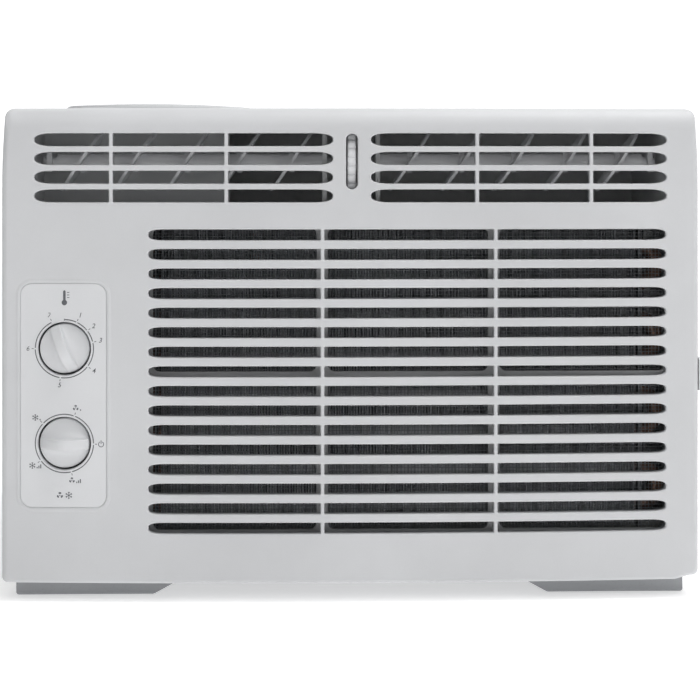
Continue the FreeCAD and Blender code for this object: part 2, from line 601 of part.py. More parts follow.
# ---- air swing rotor -----------------------------------------------------------------------
def rotor_half(side):
    """Shaft with slanted elliptical vanes, on one side of the thumbwheel."""
    x0 = WHEEL_WIDTH / 2
    shaft = cylinder(ROTOR_SHAFT_R, (x0, ROTOR_Y, ROTOR_Z), (1, 0, 0), ROTOR_END_X - ROTOR_PIN - x0)
    pin = cylinder(ROTOR_JOURNAL_R, (ROTOR_END_X - ROTOR_PIN, ROTOR_Y, ROTOR_Z), (1, 0, 0), ROTOR_PIN)
    parts = [shaft, pin]
    for i in range(VANE_COUNT):
        x = VANE_FIRST_X + i * VANE_PITCH
        parts.append(cylinder(VANE_BOSS_R, (x - VANE_BOSS_WIDTH / 2, ROTOR_Y, ROTOR_Z), (1, 0, 0),
                              VANE_BOSS_WIDTH))
    if side < 0:
        parts = [p.mirror(Vector(0, 0, 0), X_AXIS) for p in parts]
    envelope = cylinder(VANE_R, (-ROTOR_END_X, ROTOR_Y, ROTOR_Z), (1, 0, 0), 2 * ROTOR_END_X)
    long_half = VANE_R / cos(radians(VANE_TILT))
    for i in range(VANE_COUNT):
        x = side * (VANE_FIRST_X + i * VANE_PITCH)
        disc = box(x - VANE_THICK / 2, x + VANE_THICK / 2, ROTOR_Y - long_half, ROTOR_Y + long_half,
                   ROTOR_Z - long_half - 3, ROTOR_Z + long_half + 3)
        disc.rotate(Vector(x, ROTOR_Y, ROTOR_Z), Y_AXIS, VANE_TILT)
        parts.append(disc.common(envelope))
    return join(parts)


def rotor_thumbwheel():
    """Ridged wheel that shows through the middle slot and turns both vane shafts."""
    x0 = -WHEEL_WIDTH / 2
    wheel = cylinder(WHEEL_R, (x0, ROTOR_Y, ROTOR_Z), (1, 0, 0), WHEEL_WIDTH)
    grooves = []
    for i in range(WHEEL_RIDGES):
        a = 2 * pi * (i + 0.5) / WHEEL_RIDGES
        start = (x0 - 1, ROTOR_Y + (WHEEL_R + 0.4) * cos(a), ROTOR_Z + (WHEEL_R + 0.4) * sin(a))
        grooves.append(cylinder(1.5, start, (1, 0, 0), WHEEL_WIDTH + 2))
    return wheel.cut(grooves)


def rotor_bearings():
    """Two end brackets that carry the rotor's pins, screwed to the discharge duct."""
    solids = []
    for side in (-1, 1):
        plate = box(ROTOR_END_X - 5, ROTOR_END_X - 2, ROTOR_Y - 6, ROTOR_Y + 22, ROTOR_Z - 6, ROTOR_Z + 6)
        foot = box(ROTOR_END_X - 5, DUCT_HALF - DUCT_WALL, ROTOR_Y + 19, ROTOR_Y + 22,
                   ROTOR_Z - 6, ROTOR_Z + 6)
        hole = cylinder(ROTOR_JOURNAL_R + ROTOR_JOURNAL_FIT, (ROTOR_END_X - 9, ROTOR_Y, ROTOR_Z),
                        (1, 0, 0), 14)
        bracket = join([plate, foot]).cut(hole)
        solids.append(bracket if side > 0 else bracket.mirror(Vector(0, 0, 0), X_AXIS))
    return group(solids)


# ---- air path ------------------------------------------------------------------------------
def discharge_duct():
    """Open box that leads the air from the scroll up and forward to the top grille."""
    x1 = DUCT_HALF
    y0, y1 = FRONT_Y + 16, SCROLL_FRONT_Y + SCROLL_DEPTH
    outer = box(-x1, x1, y0, y1, DUCT_LOW_Z - DUCT_WALL, DUCT_HIGH_Z + DUCT_WALL)
    inner = box(-x1 + DUCT_WALL, x1 - DUCT_WALL, y0 - 1, y1 - DUCT_WALL, DUCT_LOW_Z, DUCT_HIGH_Z)
    mouth = box(AXLE_X - 96, AXLE_X + 96, SCROLL_FRONT_Y + SCROLL_WALL, y1 - SCROLL_WALL,
                DUCT_LOW_Z - DUCT_WALL - 1, DUCT_LOW_Z + 1)
    wheel_slot = cylinder(WHEEL_R + 1.5, (-WHEEL_WIDTH / 2 - 2, ROTOR_Y, ROTOR_Z), (1, 0, 0), WHEEL_WIDTH + 4)
    blank_y = ROTOR_Y + WHEEL_R + 3
    walls = [box(-x1 + DUCT_WALL - 1, BLANK_RIGHT_X, blank_y, blank_y + DUCT_WALL,
                 DUCT_LOW_Z - 1, DUCT_HIGH_Z + 1)]
    shaft_way = cylinder(ROTOR_SHAFT_R + 0.6, (-x1, ROTOR_Y, ROTOR_Z), (1, 0, 0), 2 * x1)
    for side in (-1, 1):
        a, b = sorted((side * MID_WALL_X, side * (MID_WALL_X + MID_WALL)))
        walls.append(box(a, b, y0, ROTOR_Y + 12, DUCT_LOW_Z - 1, DUCT_HIGH_Z + 1).cut(shaft_way))
    return outer.cut([inner, mouth, wheel_slot]).fuse(walls)


def scroll_outline(radius, y):
    """Scroll section in the XZ plane: an arc under the wheel, opening straight upwards."""
    cx, cz = AXLE_X, AXLE_Z
    top = DUCT_LOW_Z - DUCT_WALL
    left = cx - radius - 4
    right = cx + radius + 22
    points = [Vector(left, y, cz), Vector(cx, y, cz - radius - 8), Vector(right, y, cz + 4)]
    edges = [Part.Arc(*points).toShape(),
             Part.LineSegment(points[2], Vector(right, y, top)).toShape(),
             Part.LineSegment(Vector(right, y, top), Vector(left, y, top)).toShape(),
             Part.LineSegment(Vector(left, y, top), points[0]).toShape()]
    return loop_face(edges)


def scroll_housing():
    y0 = SCROLL_FRONT_Y
    hollow_r = BLOWER_R + 6
    outer = scroll_outline(hollow_r + SCROLL_WALL, y0).extrude(Vector(0, SCROLL_DEPTH, 0))
    hollow = scroll_outline(hollow_r, y0 + SCROLL_WALL - 1)
    hollow = hollow.extrude(Vector(0, SCROLL_DEPTH - 2 * SCROLL_WALL + 1, 0))
    inlet = cylinder(BLOWER_R - INLET_STEP, (AXLE_X, y0 - 1, AXLE_Z), (0, 1, 0), SCROLL_WALL + 2)
    shaft_hole = cylinder(MOTOR_SHAFT_R + 6, (AXLE_X, y0, AXLE_Z), (0, 1, 0), SCROLL_DEPTH + 4)
    return outer.cut([hollow, inlet, shaft_hole])


def inlet_ring():
    """Bell-mouth ring pressed in the scroll's inlet."""
    y0 = SCROLL_FRONT_Y
    outer = BLOWER_R - INLET_STEP - FIT_GAP
    collar = ring(outer, outer - 3, (AXLE_X, y0, AXLE_Z), (0, 1, 0), SCROLL_WALL)
    flange = ring(outer + 8, outer - 3, (AXLE_X, y0 - 2.0 - FIT_GAP, AXLE_Z), (0, 1, 0), 2.0)
    link = ring(outer, outer - 3, (AXLE_X, y0 - FIT_GAP - 0.5, AXLE_Z), (0, 1, 0), 1.5)
    return join([collar, flange, link])


def blower_wheel():
    """Forward-curved blades between a back plate and a front ring."""
    y0 = BLOWER_FRONT_Y
    back = cylinder(BLOWER_R, (AXLE_X, y0 + BLOWER_DEPTH - 2.5, AXLE_Z), (0, 1, 0), 2.5)
    rim = ring(BLOWER_R, BLOWER_R - BLOWER_BAND, (AXLE_X, y0, AXLE_Z), (0, 1, 0), 3)
    hub = cylinder(12, (AXLE_X, y0 + BLOWER_DEPTH - BLOWER_HUB_DEPTH, AXLE_Z), (0, 1, 0), BLOWER_HUB_DEPTH)
    blades = []
    for i in range(BLOWER_BLADES):
        blade = box(AXLE_X + BLOWER_R - BLOWER_BAND, AXLE_X + BLOWER_R - 0.5, y0, y0 + BLOWER_DEPTH,
                    AXLE_Z - 0.6, AXLE_Z + 0.6)
        blade.rotate(Vector(AXLE_X + BLOWER_R - BLOWER_BAND / 2, 0, AXLE_Z), Y_AXIS, 28)
        blade.rotate(Vector(AXLE_X, 0, AXLE_Z), Y_AXIS, 360.0 * i / BLOWER_BLADES)
        blades.append(blade)
    limit = cylinder(BLOWER_R, (AXLE_X, y0, AXLE_Z), (0, 1, 0), BLOWER_DEPTH)
    bore = cylinder(MOTOR_SHAFT_R, (AXLE_X, y0 - 1, AXLE_Z), (0, 1, 0), BLOWER_DEPTH + 2)
    return join([back, rim, hub] + blades).common(limit).cut(bore)


def bulkhead():
    """Steel partition between the room side and the outdoor side."""
    wall = box(-PAN_HALF + 3, PAN_HALF - 3, BULKHEAD_Y, BULKHEAD_Y + 1.2, PAN_RAISE + PAN_SHEET + 1, 274)
    foot = box(-100, 100, BULKHEAD_Y, BULKHEAD_Y + 14, PAN_RAISE + PAN_SHEET, PAN_RAISE + PAN_SHEET + 1.2)
    shaft_hole = cylinder(MOTOR_SHAFT_R + 8, (AXLE_X, BULKHEAD_Y - 1, AXLE_Z), (0, 1, 0), 4)
    line_hole = box(LINE_X - 24, LINE_X + 10, BULKHEAD_Y - 1, BULKHEAD_Y + 3, LINE_Z - 14, LINE_Z + 12)
    harness_hole = cylinder(7, (KNOB_X - 10, BULKHEAD_Y - 1, HARNESS_Z), (0, 1, 0), 4)
    return join([wall, foot]).cut([shaft_hole, line_hole, harness_hole])


# ---- motor and outdoor fan -----------------------------------------------------------------
def motor_bell(front):
    """One of the two drawn cups that close the fan motor, with its bearing boss."""
    y0, y1 = MOTOR_FRONT_Y, MOTOR_FRONT_Y + MOTOR_LENGTH
    middle = (y0 + y1) / 2
    shells = []
    for inset in (0, MOTOR_WALL):
        can = cylinder(MOTOR_R - inset, (AXLE_X, y0 + inset, AXLE_Z), (0, 1, 0), y1 - y0 - 2 * inset)
        shells.append(can.makeFillet(6 - inset, [e for e in can.Edges if len(e.Vertexes) == 1]))
    boss = cylinder(13, (AXLE_X, y0 - 6 if front else y1 - 10, AXLE_Z), (0, 1, 0), 16)
    half = box(-300, 300, y0 - 20 if front else middle, middle if front else y1 + 20, -300, 300)
    hole = cylinder(MOTOR_SHAFT_R + SHAFT_FIT, (AXLE_X, y0 - 8, AXLE_Z), (0, 1, 0), MOTOR_LENGTH + 16)
    wall = shells[0].common(half).cut(shells[1])
    return join([wall, boss]).cut(hole)


def motor_stator():
    middle = MOTOR_FRONT_Y + MOTOR_LENGTH / 2
    outer = MOTOR_R - MOTOR_WALL - 0.1
    return ring(outer, ROTOR_CORE_R + AIR_GAP, (AXLE_X, middle - STATOR_LENGTH / 2, AXLE_Z), (0, 1, 0),
                STATOR_LENGTH)


def motor_rotor():
    middle = MOTOR_FRONT_Y + MOTOR_LENGTH / 2
    return ring(ROTOR_CORE_R, MOTOR_SHAFT_R, (AXLE_X, middle - STATOR_LENGTH / 2, AXLE_Z), (0, 1, 0),
                STATOR_LENGTH)


def motor_shaft():
    y0 = BLOWER_FRONT_Y + BLOWER_DEPTH - BLOWER_HUB_DEPTH - 4
    y1 = FAN_Y + FAN_DEPTH / 2 + 14
    return cylinder(MOTOR_SHAFT_R - 0.02, (AXLE_X, y0, AXLE_Z), (0, 1, 0), y1 - y0)


def motor_bracket():
    """Steel cradle: a strap round the motor on a folded stand."""
    y0, y1 = MOTOR_FRONT_Y + 18, MOTOR_FRONT_Y + MOTOR_LENGTH - 18
    floor_z = PAN_RAISE + PAN_SHEET
    strap = ring(MOTOR_R + 2.2, MOTOR_R + 0.2, (AXLE_X, y0, AXLE_Z), (0, 1, 0), y1 - y0)
    legs = [box(AXLE_X + s * 30 - 1, AXLE_X + s * 30 + 1, y0, y1, floor_z, AXLE_Z - 32) for s in (-1, 1)]
    feet = [box(AXLE_X - 48, AXLE_X - 29, y0, y1, floor_z, floor_z + 2),
            box(AXLE_X + 29, AXLE_X + 48, y0, y1, floor_z, floor_z + 2)]
    motor_space = cylinder(MOTOR_R + 0.2, (AXLE_X, y0 - 1, AXLE_Z), (0, 1, 0), y1 - y0 + 2)
    return join([strap] + legs + feet).cut(motor_space)


def condenser_fan():
    """Axial fan whose outer slinger ring lifts condensate from the pan."""
    y0 = FAN_Y - FAN_DEPTH / 2
    hub = cylinder(24, (AXLE_X, y0, AXLE_Z), (0, 1, 0), FAN_DEPTH)
    slinger = ring(FAN_R + 6, FAN_R + 3.5, (AXLE_X, FAN_Y - 4, AXLE_Z), (0, 1, 0), 8)
    blades = []
    for i in range(FAN_BLADES):
        blade = box(AXLE_X + 20, AXLE_X + FAN_R + 4.5, FAN_Y - 1, FAN_Y + 1, AXLE_Z - 34, AXLE_Z + 34)
        blade.rotate(Vector(AXLE_X, FAN_Y, AXLE_Z), X_AXIS, 17)
        blade.rotate(Vector(AXLE_X, FAN_Y, AXLE_Z), Y_AXIS, 360.0 * i / FAN_BLADES)
        blades.append(blade)
    limit = cylinder(FAN_R + 6, (AXLE_X, y0, AXLE_Z), (0, 1, 0), FAN_DEPTH)
    bore = cylinder(MOTOR_SHAFT_R, (AXLE_X, y0 - 1, AXLE_Z), (0, 1, 0), FAN_DEPTH + 2)
    return join([hub, slinger] + blades).common(limit).cut(bore)


def fan_shroud():
    """Orifice panel and side walls that lead the fan's air through the condenser."""
    y0, y1 = FAN_Y + 6, COND_FRONT_Y - 1 - FIT_GAP
    z0, z1 = PAN_RAISE + PAN_SHEET, CABINET_TOP_Z - CABINET_SHEET - 2
    x0, x1 = COND_LEFT_X + 4, COND_RIGHT_X + 4
    outer = box(x0, x1, y0, y1, z0, z1)
    inner = box(x0 + 2, x1 - 2, y0 + 2, y1 + 1, z0 + 2, z1 - 2)
    orifice = cylinder(FAN_R + 9, (AXLE_X, y0 - 1, AXLE_Z), (0, 1, 0), 4)
    return outer.cut([inner, orifice])


# ---- heat exchangers -----------------------------------------------------------------------
def coil_rows(low_z, rows, pitch):
    return [low_z + pitch * (i + 0.5) for i in range(rows)]


def coil_fins(x0, x1, y0, depth, low_z, rows, pitch):
    """Fin pack: thin plates joined by the tubes' collars, bored for the tubes."""
    height = rows * pitch
    count = int((x1 - x0) / FIN_PITCH)
    step = (x1 - x0) / count
    plates = [box(x0 + i * step, x0 + i * step + FIN_THICK, y0, y0 + depth, low_z, low_z + height)
              for i in range(count + 1)]
    holes = [cylinder(TUBE_R + 0.05, (x0 - 1, y0 + depth / 2, z), (1, 0, 0), x1 - x0 + 3)
             for z in coil_rows(low_z, rows, pitch)]
    return group([p.cut(holes) for p in plates])


def coil_tubes(x0, x1, y0, depth, low_z, rows, pitch):
    """Serpentine tube: straight runs with return bends at alternate ends."""
    zs = coil_rows(low_z, rows, pitch)
    y, reach = y0 + depth / 2, pitch / 2 + 4
    points = [(x0 - STUB, y, zs[0])]
    side = 1
    for i, z in enumerate(zs[:-1]):
        x = x1 + reach if side > 0 else x0 - reach
        points += [(x, y, z), (x, y, zs[i + 1])]
        side = -side
    points.append((x1 + STUB if side > 0 else x0 - STUB, y, zs[-1]))
    return tube(points, TUBE_R, pitch / 2 - 0.05, TUBE_R - 0.6)


def coil_end_plates(x0, x1, y0, depth, low_z, rows, pitch):
    height = rows * pitch
    solids = []
    for x in (x0 - 3.5, x1 + 2.5):
        plate = box(x, x + 1.2, y0 - 1, y0 + depth + 1, low_z - 2, low_z + height + 2)
        holes = [cylinder(TUBE_R + 0.3, (x - 1, y0 + depth / 2, z), (1, 0, 0), 4)
                 for z in coil_rows(low_z, rows, pitch)]
        solids.append(plate.cut(holes))
    return group(solids)


def drain_tray():
    """Moulded tray under the evaporator."""
    z1 = EVAP_LOW_Z - 2.6
    z0 = PAN_RAISE + PAN_SHEET + 0.2
    y0 = PAN_FRONT_Y + PAN_SHEET + 0.5
    outer = box(COIL_LEFT_X - 5, COIL_RIGHT_X + 26, y0, EVAP_FRONT_Y + EVAP_DEPTH + 6, z0, z1)
    inner = box(COIL_LEFT_X - 1, COIL_RIGHT_X + 22, y0 + 4, EVAP_FRONT_Y + EVAP_DEPTH + 2, z1 - 10, z1 + 1)
    return outer.cut(inner)


# ---- compressor and lines ------------------------------------------------------------------
def compressor_form(inset):
    z0, z1 = COMP_LOW_Z, COMP_LOW_Z + COMP_HEIGHT
    form = cylinder(COMP_R - inset, (COMP_X, COMP_Y, z0 + inset), (0, 0, 1), z1 - z0 - 2 * inset)
    return form.makeFillet(16 - inset, [e for e in form.Edges if len(e.Vertexes) == 1])


def compressor_can():
    """Lower part of the compressor's steel shell, with its three feet."""
    z0, split = COMP_LOW_Z, COMP_LOW_Z + COMP_HEIGHT - COMP_CAP
    below = box(COMP_X - 90, COMP_X + 90, COMP_Y - 90, COMP_Y + 90, z0 - 10, split)
    can = compressor_form(0).common(below).cut(compressor_form(COMP_WALL))
    feet = []
    for i in range(3):
        foot = box(COMP_X + 20, COMP_X + COMP_BOLT_R + 9, COMP_Y - 11, COMP_Y + 11, z0 - 3, z0)
        foot = foot.cut(cylinder(5.2, (COMP_X + COMP_BOLT_R, COMP_Y, z0 - 4), (0, 0, 1), 6))
        foot.rotate(Vector(COMP_X, COMP_Y, 0), Z_AXIS, 120 * i)
        feet.append(foot)
    base = cylinder(COMP_R - 14, (COMP_X, COMP_Y, z0 - 3), (0, 0, 1), 4)
    return join([can, base] + feet)


def compressor_cap():
    """Upper cap of the shell, with the weld bead round its seam."""
    split = COMP_LOW_Z + COMP_HEIGHT - COMP_CAP
    above = box(COMP_X - 90, COMP_X + 90, COMP_Y - 90, COMP_Y + 90, split, split + 90)
    cap = compressor_form(0).common(above).cut(compressor_form(COMP_WALL))
    bead = ring(COMP_R + 1.5, COMP_R - 1, (COMP_X, COMP_Y, split), (0, 0, 1), 4)
    return join([cap, bead])


def compressor_core():
    """Motor and pump block pressed in the compressor's shell."""
    return cylinder(COMP_R - COMP_WALL - 0.1, (COMP_X, COMP_Y, COMP_LOW_Z + 18), (0, 0, 1), COMP_CORE_HEIGHT)


def compressor_points():
    return [(COMP_X + COMP_BOLT_R * cos(radians(a)), COMP_Y + COMP_BOLT_R * sin(radians(a)))
            for a in (0, 120, 240)]


def compressor_grommets():
    floor_z = PAN_RAISE + PAN_SHEET
    solids = []
    for x, y in compressor_points():
        body = cylinder(9, (x, y, floor_z), (0, 0, 1), COMP_LOW_Z - 3 - floor_z)
        solids.append(body.cut(cylinder(3.6, (x, y, floor_z - 1), (0, 0, 1), 40)))
    return group(solids)


def compressor_studs():
    floor_z = PAN_RAISE + PAN_SHEET
    solids = []
    for x, y in compressor_points():
        stud = cylinder(3.0, (x, y, floor_z), (0, 0, 1), COMP_LOW_Z + 9 - floor_z)
        washer = cylinder(8, (x, y, COMP_LOW_Z + 0.2), (0, 0, 1), 1.5)
        nut = hex_prism(x, y, COMP_LOW_Z + 1.7, 5.0, 5)
        solids.append(join([stud, washer, nut]))
    return group(solids)


def hex_prism(x, y, z, half_flats, height):
    r = half_flats / cos(radians(30))
    points = [(x + r * cos(radians(60 * i)), y + r * sin(radians(60 * i)), z) for i in range(6)]
    return polygon(points).extrude(Vector(0, 0, height))


def accumulator():
    can = cylinder(ACCUMULATOR_R, (LINE_X, ACCUMULATOR_Y, ACCUMULATOR_LOW_Z), (0, 0, 1), ACCUMULATOR_HEIGHT)
    return can.makeFillet(7, [e for e in can.Edges if len(e.Vertexes) == 1])


def terminal_cover():
    z1 = COMP_LOW_Z + COMP_HEIGHT
    cap = rounded_rect_y(COMP_X - 17, COMP_X + 17, z1 + 0.2, z1 + 22, 4, COMP_Y - 17)
    return cap.extrude(Vector(0, 34, 0))


def suction_line():
    """From behind the evaporator through the bulkhead to the accumulator's top."""
    start_y = EVAP_FRONT_Y + EVAP_DEPTH + 9
    end_z = ACCUMULATOR_LOW_Z + ACCUMULATOR_HEIGHT
    return tube([(LINE_X, start_y, LINE_Z), (LINE_X, ACCUMULATOR_Y, LINE_Z), (LINE_X, ACCUMULATOR_Y, end_z)],
                LINE_R, 12)


def condenser_port(row):
    """Open end of the condenser's tube at one row."""
    z = coil_rows(COND_LOW_Z, COND_ROWS, COND_PITCH)[row]
    return (COND_LEFT_X - STUB, COND_FRONT_Y + COND_DEPTH / 2, z)


def discharge_line():
    """From the compressor's head to the condenser's upper end."""
    x, y, z = condenser_port(-1)
    head = (COMP_X + 24, COMP_Y + 20, COMP_LOW_Z + COMP_HEIGHT)
    return tube([head, (head[0], head[1], z), (head[0], PIPE_Y, z), (x - 8, PIPE_Y, z),
                 (x - 8, y, z), (x, y, z)], SMALL_LINE_R, 6)


def liquid_line():
    """From the condenser's lower end to the filter drier."""
    x, y, z = condenser_port(0)
    return tube([(x, y, z), (x - 8, y, z), (x - 8, PIPE_Y, z), (x - 8, PIPE_Y, z + 16),
                 (DRIER_X, PIPE_Y, z + 16), (DRIER_X, PIPE_Y, DRIER_LOW_Z)], SMALL_LINE_R, 6)


def filter_drier():
    can = cylinder(DRIER_R, (DRIER_X, PIPE_Y, DRIER_LOW_Z), (0, 0, 1), DRIER_LENGTH)
    return can.makeFillet(5, [e for e in can.Edges if len(e.Vertexes) == 1])


def capillary_tube():
    """Thin copper line from the drier to the evaporator, with its spare length coiled."""
    x, top = LINE_X - 16, 252
    port_z = coil_rows(EVAP_LOW_Z, EVAP_ROWS, EVAP_PITCH)[0]
    port_x = COIL_LEFT_X - STUB + 3
    port_y = EVAP_FRONT_Y + EVAP_DEPTH / 2 + TUBE_R
    back_y = EVAP_FRONT_Y + EVAP_DEPTH + 14
    rise = DRIER_LOW_Z + DRIER_LENGTH
    line = tube([(DRIER_X, PIPE_Y, rise), (DRIER_X, PIPE_Y, rise + 38), (x, PIPE_Y, rise + 38),
                 (x, PIPE_Y, top), (x, -14, top), (x, -14, LINE_Z + 3), (x, back_y, LINE_Z + 3),
                 (port_x, back_y, LINE_Z + 3), (port_x, back_y, port_z), (port_x, port_y, port_z)],
                CAPILLARY_R, 10)
    turn = 20.0
    coil_z = top - turn + CAPILLARY_R + 0.7
    coils = [ring(turn, turn - 2 * CAPILLARY_R, (x, 24 + i * 3.0, coil_z), (0, 1, 0), 2.4)
             for i in range(3)]
    ties = box(x - 3, x + 3, 23.5, 33, coil_z - turn - 0.6, coil_z - turn + 4)
    return join([line, ties] + coils)


def run_capacitor():
    x, z = KNOB_X + 1, 56
    can = rounded_rect_y(x - 22, x + 22, z - 11, z + 11, 10.5, CONTROL_PLATE_Y + 4)
    return can.extrude(Vector(0, 38, 0))


def thermostat_bulb():
    """Sensing bulb behind the evaporator's top, with its capillary to the thermostat."""
    y, z = CONTROL_PLATE_Y + 30, 205
    bulb_y, bulb_z = EVAP_FRONT_Y + EVAP_DEPTH + 4, EVAP_LOW_Z + EVAP_ROWS * EVAP_PITCH + 6
    line = tube([(KNOB_X + 20, y, z), (COIL_LEFT_X + 2, y, z), (COIL_LEFT_X + 2, bulb_y, bulb_z),
                 (COIL_LEFT_X + 60, bulb_y, bulb_z)], 0.9, 4)
    bulb = cylinder(3.0, (COIL_LEFT_X + 58, bulb_y, bulb_z), (1, 0, 0), 70)
    return join([line, bulb])


# ---- chassis -------------------------------------------------------------------------------
def pan_profile(inset, top_z):
    """Section of the base pan in XZ: two flat runners and a raised middle."""
    hw = PAN_HALF - inset
    a = RUNNER_INNER_X + inset * 0.6
    b = RUNNER_INNER_X - RUNNER_SLOPE + inset * 0.6
    low, mid = inset, PAN_RAISE + inset
    points = [(-hw, top_z), (-hw, low), (-a, low), (-b, mid), (b, mid), (a, low), (hw, low), (hw, top_z)]
    return polygon([(x, 0, z) for x, z in points])


def base_pan():
    outer = pan_profile(0, PAN_WALL_HEIGHT)
    outer.translate(Vector(0, PAN_FRONT_Y, 0))
    outer = outer.extrude(Vector(0, PAN_REAR_Y - PAN_FRONT_Y, 0))
    long_edges = [e for e in outer.Edges if abs(e.BoundBox.YLength - (PAN_REAR_Y - PAN_FRONT_Y)) < 1e-3
                  and e.BoundBox.ZMax < PAN_RAISE + 1]
    ends = [e for e in outer.Edges if e.BoundBox.YLength < 1e-3 and e.BoundBox.ZMax < 1e-3]
    outer = outer.makeFillet(PAN_BEND, long_edges + ends)
    inner = pan_profile(PAN_SHEET, PAN_WALL_HEIGHT + 1)
    inner.translate(Vector(0, PAN_FRONT_Y + PAN_SHEET, 0))
    inner = inner.extrude(Vector(0, PAN_REAR_Y - PAN_FRONT_Y - 2 * PAN_SHEET, 0))
    inner_edges = [e for e in inner.Edges if e.BoundBox.YLength > 100 and e.BoundBox.ZMax < PAN_RAISE + 3]
    inner_ends = [e for e in inner.Edges if e.BoundBox.YLength < 1e-3 and e.BoundBox.ZMax < PAN_SHEET + 1e-3]
    inner = inner.makeFillet(PAN_BEND - PAN_SHEET, inner_edges + inner_ends)
    drain = cylinder(DRAIN_R, (DRAIN_X, DRAIN_Y, PAN_RAISE - 3), (0, 0, 1), 8)
    return outer.cut([inner, drain])


def louvres_side(side):
    """Slots for the outdoor air in a cabinet side."""
    slots = []
    for y0 in SIDE_LOUVRE_YS:
        for row in range(SIDE_LOUVRE_ROWS):
            face = slot_face(0, SIDE_LOUVRE_LENGTH, 0, LOUVRE_SLOT, LOUVRE_SLOT / 2, 0)
            slot = face.extrude(Vector(0, 8, 0))
            slot.rotate(Vector(0, 0, 0), Z_AXIS, 90)
            slot.translate(Vector(side * HALF_CAB + 4, y0, SIDE_LOUVRE_LOW_Z + row * LOUVRE_PITCH))
            slots.append(slot)
    return slots


def louvres_top():
    slots = []
    for x0 in TOP_LOUVRE_XS:
        for row in range(TOP_LOUVRE_ROWS):
            face = slot_face(x0, x0 + TOP_LOUVRE_LENGTH, 0, LOUVRE_SLOT, LOUVRE_SLOT / 2, 0)
            slot = face.extrude(Vector(0, 8, 0))
            slot.rotate(Vector(0, 0, 0), X_AXIS, -90)
            slot.translate(Vector(0, TOP_LOUVRE_FRONT_Y + row * LOUVRE_PITCH, CABINET_TOP_Z + 4))
            slots.append(slot)
    return slots


def emboss(grow):
    """Low crowned rib stamped up from the cabinet's top, towards the left."""
    x0, x1 = EMBOSS_LEFT_X - grow, EMBOSS_RIGHT_X + grow
    y0, y1 = EMBOSS_FRONT_Y - grow, EMBOSS_FRONT_Y + EMBOSS_DEPTH + grow
    peak = CABINET_TOP_Z + EMBOSS_HEIGHT + grow
    block = box(x0, x1, y0, y1, CABINET_TOP_Z - 2, peak + 1)
    block = block.makeFillet(10, [e for e in block.Edges if e.BoundBox.ZLength > 5])
    crown = cylinder(EMBOSS_CROWN_R, (EMBOSS_PEAK_X, y0 - 1, peak - EMBOSS_CROWN_R), (0, 1, 0), y1 - y0 + 2)
    return block.common(crown)


def cabinet():
    """Painted wrap: top and two sides, flanged round its rear edge."""
    t = CABINET_SHEET
    z0 = PAN_RAISE - 1.0

    def tunnel(inset, y0, y1):
        hw, top = HALF_CAB - inset, CABINET_TOP_Z - inset
        solid = box(-hw, hw, y0, y1, z0 - inset * 2, top)
        edges = [e for e in solid.Edges if e.BoundBox.YLength > 50 and e.BoundBox.ZMin > 100]
        return solid.makeFillet(CABINET_BEND - inset, edges)

    outer = join([tunnel(0, CABINET_FRONT_Y, REAR_Y), emboss(0)])
    inner = join([tunnel(t, CABINET_FRONT_Y - 1, REAR_Y - t), emboss(-t)])
    window = box(COND_LEFT_X - 8, COND_RIGHT_X + 8, REAR_Y - 5, REAR_Y + 5, z0 - 5,
                 REAR_WINDOW_TOP_Z)
    cutters = [inner, window] + louvres_side(-1) + louvres_side(1) + louvres_top()
    for side in (-1, 1):
        for z in CURTAIN_HOLE_Z:
            cutters.append(cylinder(CURTAIN_HOLE_R, (side * HALF_CAB - 5, CURTAIN_HOLE_Y, z), (1, 0, 0), 10))
        cutters.append(cylinder(RAIL_HOLE_R, (side * RAIL_HOLE_X, RAIL_HOLE_Y, CABINET_TOP_Z - 5),
                                (0, 0, 1), 20))
        for y in SCREW_YS:
            cutters.append(cylinder(SCREW_HOLE_R, (side * HALF_CAB - 5, y, SCREW_Z), (1, 0, 0), 10))
    return outer.cut(cutters)


def cabinet_screws():
    """Hex-head sheet screws that hold the cabinet to the pan's flanges."""
    solids = []
    for side in (-1, 1):
        for y in SCREW_YS:
            shank = cylinder(SCREW_HOLE_R - FIT_GAP, (HALF_CAB - CABINET_SHEET, y, SCREW_Z), (1, 0, 0), CABINET_SHEET + 0.5)
            head = hex_prism(0, 0, 0, 4.0, 3.0)
            head.rotate(Vector(0, 0, 0), Y_AXIS, 90)
            head.translate(Vector(HALF_CAB + 0.1, y, SCREW_Z))
            screw = join([shank, head])
            solids.append(screw if side > 0 else screw.mirror(Vector(0, 0, 0), X_AXIS))
    return group(solids)


def coil_guard():
    """Wire guard over the condenser at the rear."""
    y = REAR_Y - CABINET_SHEET - GUARD_WIRE_R - FIT_GAP
    r = GUARD_WIRE_R
    x0, x1, z0, z1 = COND_LEFT_X - 12, COND_RIGHT_X + 12, GUARD_LOW_Z, GUARD_HIGH_Z
    corners = [(x0 + 40, y, z0), (x1, y, z0), (x1, y, z1), (x0, y, z1), (x0, y, z0), (x0 + 40, y, z0)]
    frame = tube(corners, r, 6)
    wires = []
    for i in range(1, GUARD_ROWS):
        z = z0 + (z1 - z0) * i / GUARD_ROWS
        wires.append(cylinder(r * 0.8, (x0, y, z), (1, 0, 0), x1 - x0))
    for i in range(1, GUARD_COLUMNS):
        x = x0 + (x1 - x0) * i / GUARD_COLUMNS
        wires.append(cylinder(r * 0.8, (x, y - r, z0), (0, 0, 1), z1 - z0))
    return join([frame] + wires)


